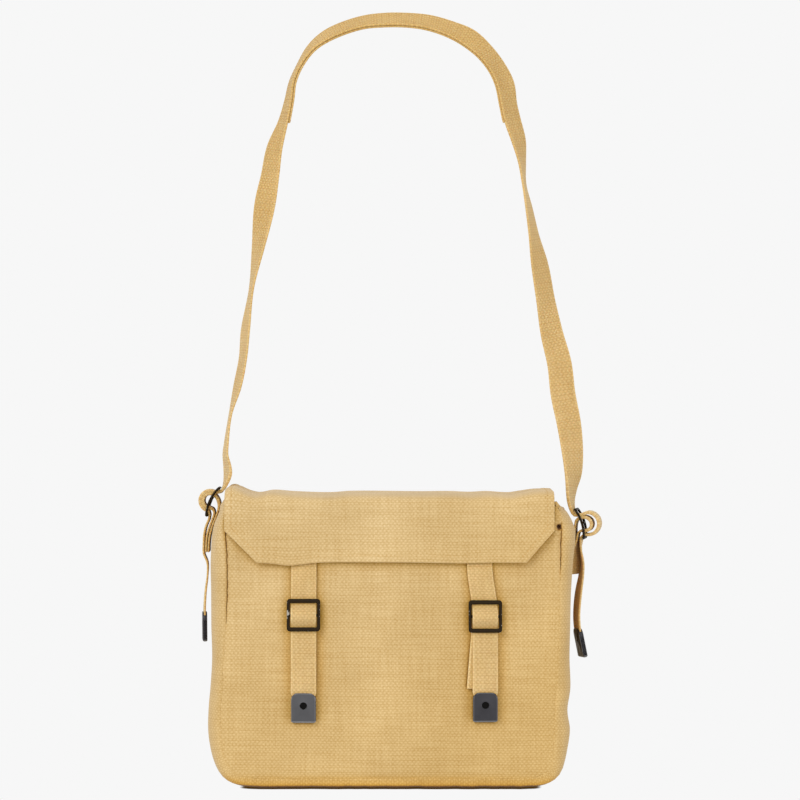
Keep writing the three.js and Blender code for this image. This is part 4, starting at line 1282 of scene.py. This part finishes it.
# %% [markdown]
# Steel tips keep the ends of the webbing from fraying and steer them through a buckle. On the
# real strap a plate with rounded shoulders is folded over the end, and an eyelet holds it. Its two
# faces are lofted like the buckles, here from their rim in to the eyelet, and a bent grid makes
# the fold that joins them. A dark disc behind the eyelet is painted shade for its hole, which saves
# drilling through the webbing.

# %% Strap tips
Ring = namedtuple("Ring", "radius out")  # out is how far it stands proud of the sheet
EYELET_DROP = 12
EYELET = table(
    Ring,
    (4.4, 0.1), (4.0, 0.2), (3.6, 0.24), (3.3, -0.1), (3.1, -0.75),
)
BACK_HOLE = table(
    Ring,
    (1.9, 0.1), (1.6, -0.75),
)
HOLE_SHADE_RADIUS = 3.2  # radius of the black disc of painted shade behind an eyelet
EDGE_ROUND = 0.25
FOLD_STEPS = 10
FOLD_ROWS = 40
FOLD_ARC = 1.15  # how far the fold follows the tip's shoulders, in radians
FOLD_ROUND = 0.9  # how far the folded edge of a tip is rounded in


def sheet_loops(side, eyelet):
    """Loops of one side of a tip: its back edge, its front edge, then in to its eyelet."""
    middle = TIP.height / 2
    inner = side * TIP.slot / 2
    outer = side * (TIP.slot / 2 + TIP.wall)

    def rim(inset, depth):
        width, height = TIP.width - 2 * inset, TIP.height - 2 * inset
        return Loop(width, height, TIP.shoulder, TIP.foot, middle, depth)

    loops = [rim(EDGE_ROUND, inner), rim(0, inner + side * EDGE_ROUND), rim(0, outer - side * EDGE_ROUND)]
    # Each loop has a depth of its own, because two loops in one plane can be bridged crosswise.
    loops += [rim(edge * EDGE_ROUND, outer + side * 0.02 * edge) for edge in (1, 2, 4)]
    for ring in eyelet:
        radius, across = ring.radius, 2 * ring.radius
        loops.append(Loop(across, across, radius, radius, TIP.height - EYELET_DROP, outer + side * ring.out))
    return loops


def tip_form(rubbed):
    """Sheet steel folded round the end of a strap. It stands on Z = 0 with its eyelet to -Y.

    rubbed is how much of its blueing has worn off."""
    form = bmesh.new()
    wear = form.verts.layers.float.new("wear")
    loft_ring(form, sheet_loops(-1, EYELET))
    loft_ring(form, sheet_loops(1, BACK_HOLE))
    # One strip closes the bottom and both sides, round in its section as folded sheet is.
    sheet = bmesh.ops.create_grid(form, x_segments=FOLD_ROWS, y_segments=FOLD_STEPS, size=0.5)["verts"]
    radius = TIP.slot / 2 + TIP.wall
    straight = TIP.height - TIP.shoulder - TIP.foot
    for vertex in sheet:
        turn = math.pi * (vertex.co.y + 0.5)
        side = 1 if vertex.co.x > 0 else -1
        reach = abs(vertex.co.x) * 2 * (TIP.width / 2 + straight + FOLD_ARC * TIP.shoulder)
        out = (1 - math.sin(turn)) * FOLD_ROUND
        if reach < TIP.width / 2:
            x, z = side * min(reach, TIP.width / 2 - out), out
        else:
            rise = min(reach - TIP.width / 2, straight) + TIP.foot
            angle = max(reach - TIP.width / 2 - straight, 0) / TIP.shoulder
            x = side * (TIP.width / 2 - out - TIP.shoulder * (1 - math.cos(angle)))
            z = max(rise + TIP.shoulder * math.sin(angle), out)
        vertex.co = Vector((x, -radius * math.cos(turn), z))
    fold = list(dict.fromkeys(face for vertex in sheet for face in vertex.link_faces))
    bmesh.ops.solidify(form, geom=fold, thickness=TIP.wall)
    bmesh.ops.recalc_face_normals(form, faces=form.faces)
    # The edges and the bottom fold are made lighter, partly as wear and partly as a painted highlight along
    # them.
    for vertex in form.verts:
        x, y, z = vertex.co
        edge = max(abs(x) - (TIP.width / 2 - 0.9), 0) + max(z - (TIP.height - 0.8), 0)
        vertex[wear] = clamp(rubbed + 0.2 * (edge > 0) * (abs(y) > radius - 0.4) + 0.3 * (z < 0.6))
    smooth(form)
    return form


def make_tip(side, origin, up, outward, rubbed=0.0):
    form = tip_form(rubbed)
    bmesh.ops.transform(form, matrix=standing(origin, up, outward), verts=form.verts)
    piece = make_piece(f"{side}_steel", form, gunmetal, [side])
    round_edges(piece, 0.12, 1, 40)
    # A black disc of painted shade behind the eyelet, in its hole.
    disc = bmesh.new()
    behind = Matrix.Translation((0, -TIP.slot / 2 - 0.15, TIP.height - EYELET_DROP))
    flat = behind @ Matrix.Rotation(math.pi / 2, 4, "X")
    bmesh.ops.create_cone(disc, cap_ends=True, segments=24, radius1=HOLE_SHADE_RADIUS, radius2=HOLE_SHADE_RADIUS, depth=0.2,
                          matrix=flat)
    bmesh.ops.transform(disc, matrix=standing(origin, up, outward), verts=disc.verts)
    make_piece(f"{side}_bore", disc, hole_shade)


for closure in CLOSURES:
    slope, plane = tip_plane(closure)
    x, low = closure.buckle_x, closure.tip_z
    high = low + TIP.height
    foot = Vector((x, plane(x, low) - TIP_LIFT, low))
    up = (Vector((x, plane(x, high) - TIP_LIFT, high)) - foot).normalized()
    rubbed = 0.1 if closure.side == "left" else 0
    make_tip(f"closure_tip_{closure.side}", foot, up, Vector((slope, -1, 0)), rubbed)

TAILS = [("left", LEFT_TAIL[0], LEFT_TAIL[2], -1), ("right", RIGHT_TAIL[-1], RIGHT_TAIL[-3], 1)]
for side, end, before, out in TAILS:
    up = Vector((before.x - end.x, 0, before.z - end.z)).normalized()
    turn = math.radians(end.turn)
    outward = Vector((out * math.cos(turn), -math.sin(turn), 0))
    foot = Vector((end.x, 0, end.z)) - up * STRAP_END
    make_tip(f"side_tip_{side}", foot, up, outward)
print("tips: 4, each", TIP.width, "by", TIP.height, "mm")

# %% [markdown]
# Stitches hold all of it together, and the eye looks for them at hems and ends. Each is a small
# flattened bead of thread that lies along its line, half sunk in the cloth. They could be a
# pattern in the cloth's material, but beads catch the light and keep their shape close up, and
# a few dozen faces each is cheap enough for the few hundred that show.

# %% Stitches
STITCH = 2.6  # length of a stitch
PITCH = 3.6  # from one stitch to the next
THREAD = 0.62


def sew(name, lines, pitch=PITCH):
    """One piece with all the stitches of some lines. A line is a list of points with normals."""
    form = bmesh.new()
    count = 0
    for line in lines:
        travelled, due = 0.0, pitch / 2
        for (here, normal), (there, _) in zip(line, line[1:]):
            step = there - here
            while due <= travelled + step.length:
                middle = here + step * ((due - travelled) / step.length)
                ahead = step.normalized()
                beside = normal.cross(ahead).normalized()
                turned = Matrix((ahead, beside, ahead.cross(beside))).transposed().to_4x4()
                shape = Matrix.Diagonal((STITCH / 2, THREAD / 2, THREAD / 2, 1))
                place = Matrix.Translation(middle) @ turned @ shape
                bmesh.ops.create_uvsphere(form, u_segments=6, v_segments=4, radius=1, matrix=place)
                due += pitch
                count += 1
            travelled += step.length
    smooth(form)
    make_piece(name, form, thread)
    print(name, count, "stitches")


def on_flap(route, steps=14):
    """A line over the flap through corners that are each a place in its table and an x."""
    line = []
    for (place_a, x_a), (place_b, x_b) in zip(route, route[1:]):
        for step in range(steps):
            share = step / steps
            place, x = lerp(place_a, place_b, share), lerp(x_a, x_b, share)
            here = flap_point(place, x)
            down = flap_point(place + 0.02, x) - here
            across = flap_point(place, x + 0.5) - here
            normal = down.cross(across).normalized()
            if normal.dot(Vector((0, clamp(here.y / 50, -1, 1), 1))) < 0:
                normal = -normal
            line.append((here, normal))
    return line


# In the flap's table, the stitches lie a little before the row of the hem and that of the corners.
hem_place = len(FLAP) - 1 - STITCH_LINE / 16
corner_place = FLAP.index(FLAP_CORNER) - STITCH_LINE * 0.4 / 15
side_rows = [(0.5, FLAP[0]), *((row, FLAP[row]) for row in (3, 5, 8, 10)), (corner_place, FLAP_CORNER)]
hem_xs = [FLAP_HEM.left + STITCH_LINE * 0.4, -60, 0, 60, FLAP_HEM.right - STITCH_LINE * 0.4]
flap_sides = [
    *((place, row.left + STITCH_LINE) for place, row in side_rows),
    *((hem_place, x) for x in hem_xs),
    *((place, row.right - STITCH_LINE) for place, row in reversed(side_rows)),
]
back_rows = [
    [(0.3, x) for x in (-155, -80, 0, 80, 141)],
    [(0.8, x) for x in (-156, -80, 0, 80, 142)],
]
sew("flap_stitches", [on_flap(flap_sides, 18), *(on_flap(row, 40) for row in back_rows)])


def on_band(route, spots, shift):
    """A line on a band through spots, each a place on its route and a side off its middle.

    shift is how far off its middle layer the line lies, and on which face."""
    line = []
    for place, side in spots:
        middle, across, normal = band_frame(route, place)
        line.append((middle + across * side + normal * shift, normal * math.copysign(1, shift)))
    return line


EDGE_LINES = [WEBBING_WIDTH / 2 - 2.2, 2.2 - WEBBING_WIDTH / 2]
END_REACH = WEBBING_WIDTH / 2 - 2
END_LINE = [lerp(-END_REACH, END_REACH, i / 6) for i in range(7)]


def sewn_down(route, places, ends, shift):
    """Lines along both edges of a band, and a line across it at each of its ends."""
    lines = [on_band(route, [(place, side) for place in places], shift) for side in EDGE_LINES]
    return lines + [on_band(route, [(end, side) for side in END_LINE], shift) for end in ends]


pad_places = stations(STRAP, 3, PAD_FIRST, PAD_LAST)
pad_ends = [PAD_FIRST + 0.13, PAD_FIRST + 0.4, PAD_LAST - 0.17, PAD_LAST - 0.5]
pad_lines = []
for shift in (WEBBING / 2, -PLY - WEBBING / 2):
    pad_lines += sewn_down(STRAP, pad_places, pad_ends, shift)
sew("pad_stitches", pad_lines)

chape_lines = []
for closure in CLOSURES:
    end = closure.buckle_z - CHAPE_DROP
    for side in EDGE_LINES:
        line = []
        for step in range(16):
            z = lerp(end + 2, closure.buckle_z - 20, step / 15)
            x = chape_middle(closure, z) + side
            line.append((Vector((x, front_face(x, z) - ON_PANEL - WEBBING / 2, z)), Vector((0, -1, 0))))
        chape_lines.append(line)
# A side chape is sewn down from the end of its outer layer.
for side, last_place, inward in (("left", len(CHAPE_ROUTES["left"]) - 1, -1), ("right", 0, 1)):
    places = [last_place + inward * (0.35 + step * 0.085) for step in range(11)]
    chape_lines += sewn_down(CHAPE_ROUTES[side], places, (places[0], places[-1]), WEBBING / 2)
sew("chape_stitches", chape_lines, pitch=3.2)

mouth_lines = []
for side, place in (("left", 2.75), ("right", len(GUSSET_ROUTE) - 3.75)):
    here = along(GUSSET_ROUTE, place)
    towards = heading(GUSSET_ROUTE, place)
    outward = Vector((towards.y, 0, -towards.x))
    line = []
    for y in range(-44, 45, 3):
        share = 1 - 0.24 * (abs(y) / 45) ** 3
        line.append((Vector((here.x, y, here.z)) + outward * here.bulge * share, outward))
    mouth_lines.append(line)
sew("mouth_stitches", mouth_lines)

# %% [markdown]
# The bag is shown as in a catalogue: a pale floor and a pale, even light, with one broad light
# from the upper left that gives the cloth its form, and a weaker one from the right. The camera
# stands 3.2 metres in front of the bag, level with the middle of the picture, which keeps the
# strap and the bottom as straight as in the photo.

# %% Floor, light and camera
CAMERA_DISTANCE = 3.2
CAMERA_HEIGHT = -0.3608
FIELD = 0.776  # width of the picture at the middle of the bag, in metres
SENSOR = 36
BACKGROUND = "F7F7F7"
FLOOR_REACH = 60
FLOOR_DROP = 0.0004  # below the bottom of the bag


def lit_table():
    """A pale table that glows as if lit from below, with a painted shadow along its line of contact."""
    material, tree = new_material("pale light table")
    # Painted contact shadow: the table is darkened to brown where the bag stands close over it.
    contact = add_node(tree, "AmbientOcclusion", {"Distance": 0.003}, samples=16).outputs["AO"]
    clear = rescale(tree, contact, 0.35, 0.8, curve="SMOOTHSTEP")
    colour = mix(tree, clear, "4A3310", BACKGROUND)
    glow = add_node(tree, "Emission", {"Color": colour, "Strength": 1.0})
    add_node(tree, "OutputMaterial", {"Surface": glow.outputs[0]})
    return material


floor_form = bmesh.new()
bmesh.ops.create_circle(floor_form, cap_ends=True, segments=96, radius=FLOOR_REACH)
floor_level = min(corner[2] for corner in solid_bounds) - FLOOR_DROP
bmesh.ops.translate(floor_form, vec=(0, 0, floor_level), verts=floor_form.verts)
floor = show_form("paper_floor", floor_form, lit_table())

world = bpy.data.worlds.new("even studio light")
bpy.context.scene.world = world
world.use_nodes = True
world.node_tree.nodes.clear()
glow = add_node(world.node_tree, "Background", {"Color": linear(BACKGROUND), "Strength": 1.0})
add_node(world.node_tree, "OutputWorld", {"Surface": glow.outputs[0]})


def add_sun(name, strength, softness, direction):
    """A broad light from a direction. softness is its width in the sky, in degrees."""
    light = bpy.data.lights.new(name, "SUN")
    light.energy = strength
    light.angle = math.radians(softness)
    lamp = show(name, light)
    lamp.rotation_mode = "QUATERNION"
    lamp.rotation_quaternion = Vector(direction).to_track_quat("Z", "Y")


add_sun("left softbox", 1.15, 36, (-0.4, -0.78, 0.48))
add_sun("right softbox", 0.55, 30, (0.4, -0.9, 0.16))

camera_data = bpy.data.cameras.new("camera")
camera_data.sensor_width = SENSOR
camera_data.lens = SENSOR * CAMERA_DISTANCE / FIELD
camera = show("camera", camera_data)
camera.location = (0, -CAMERA_DISTANCE, CAMERA_HEIGHT)
camera.rotation_euler = (math.radians(90), 0, 0)
bpy.context.scene.camera = camera
bpy.context.scene.view_settings.view_transform = "Standard"
bpy.context.scene.view_settings.look = "None"
print("camera with a lens of", round(camera_data.lens, 1), "mm")
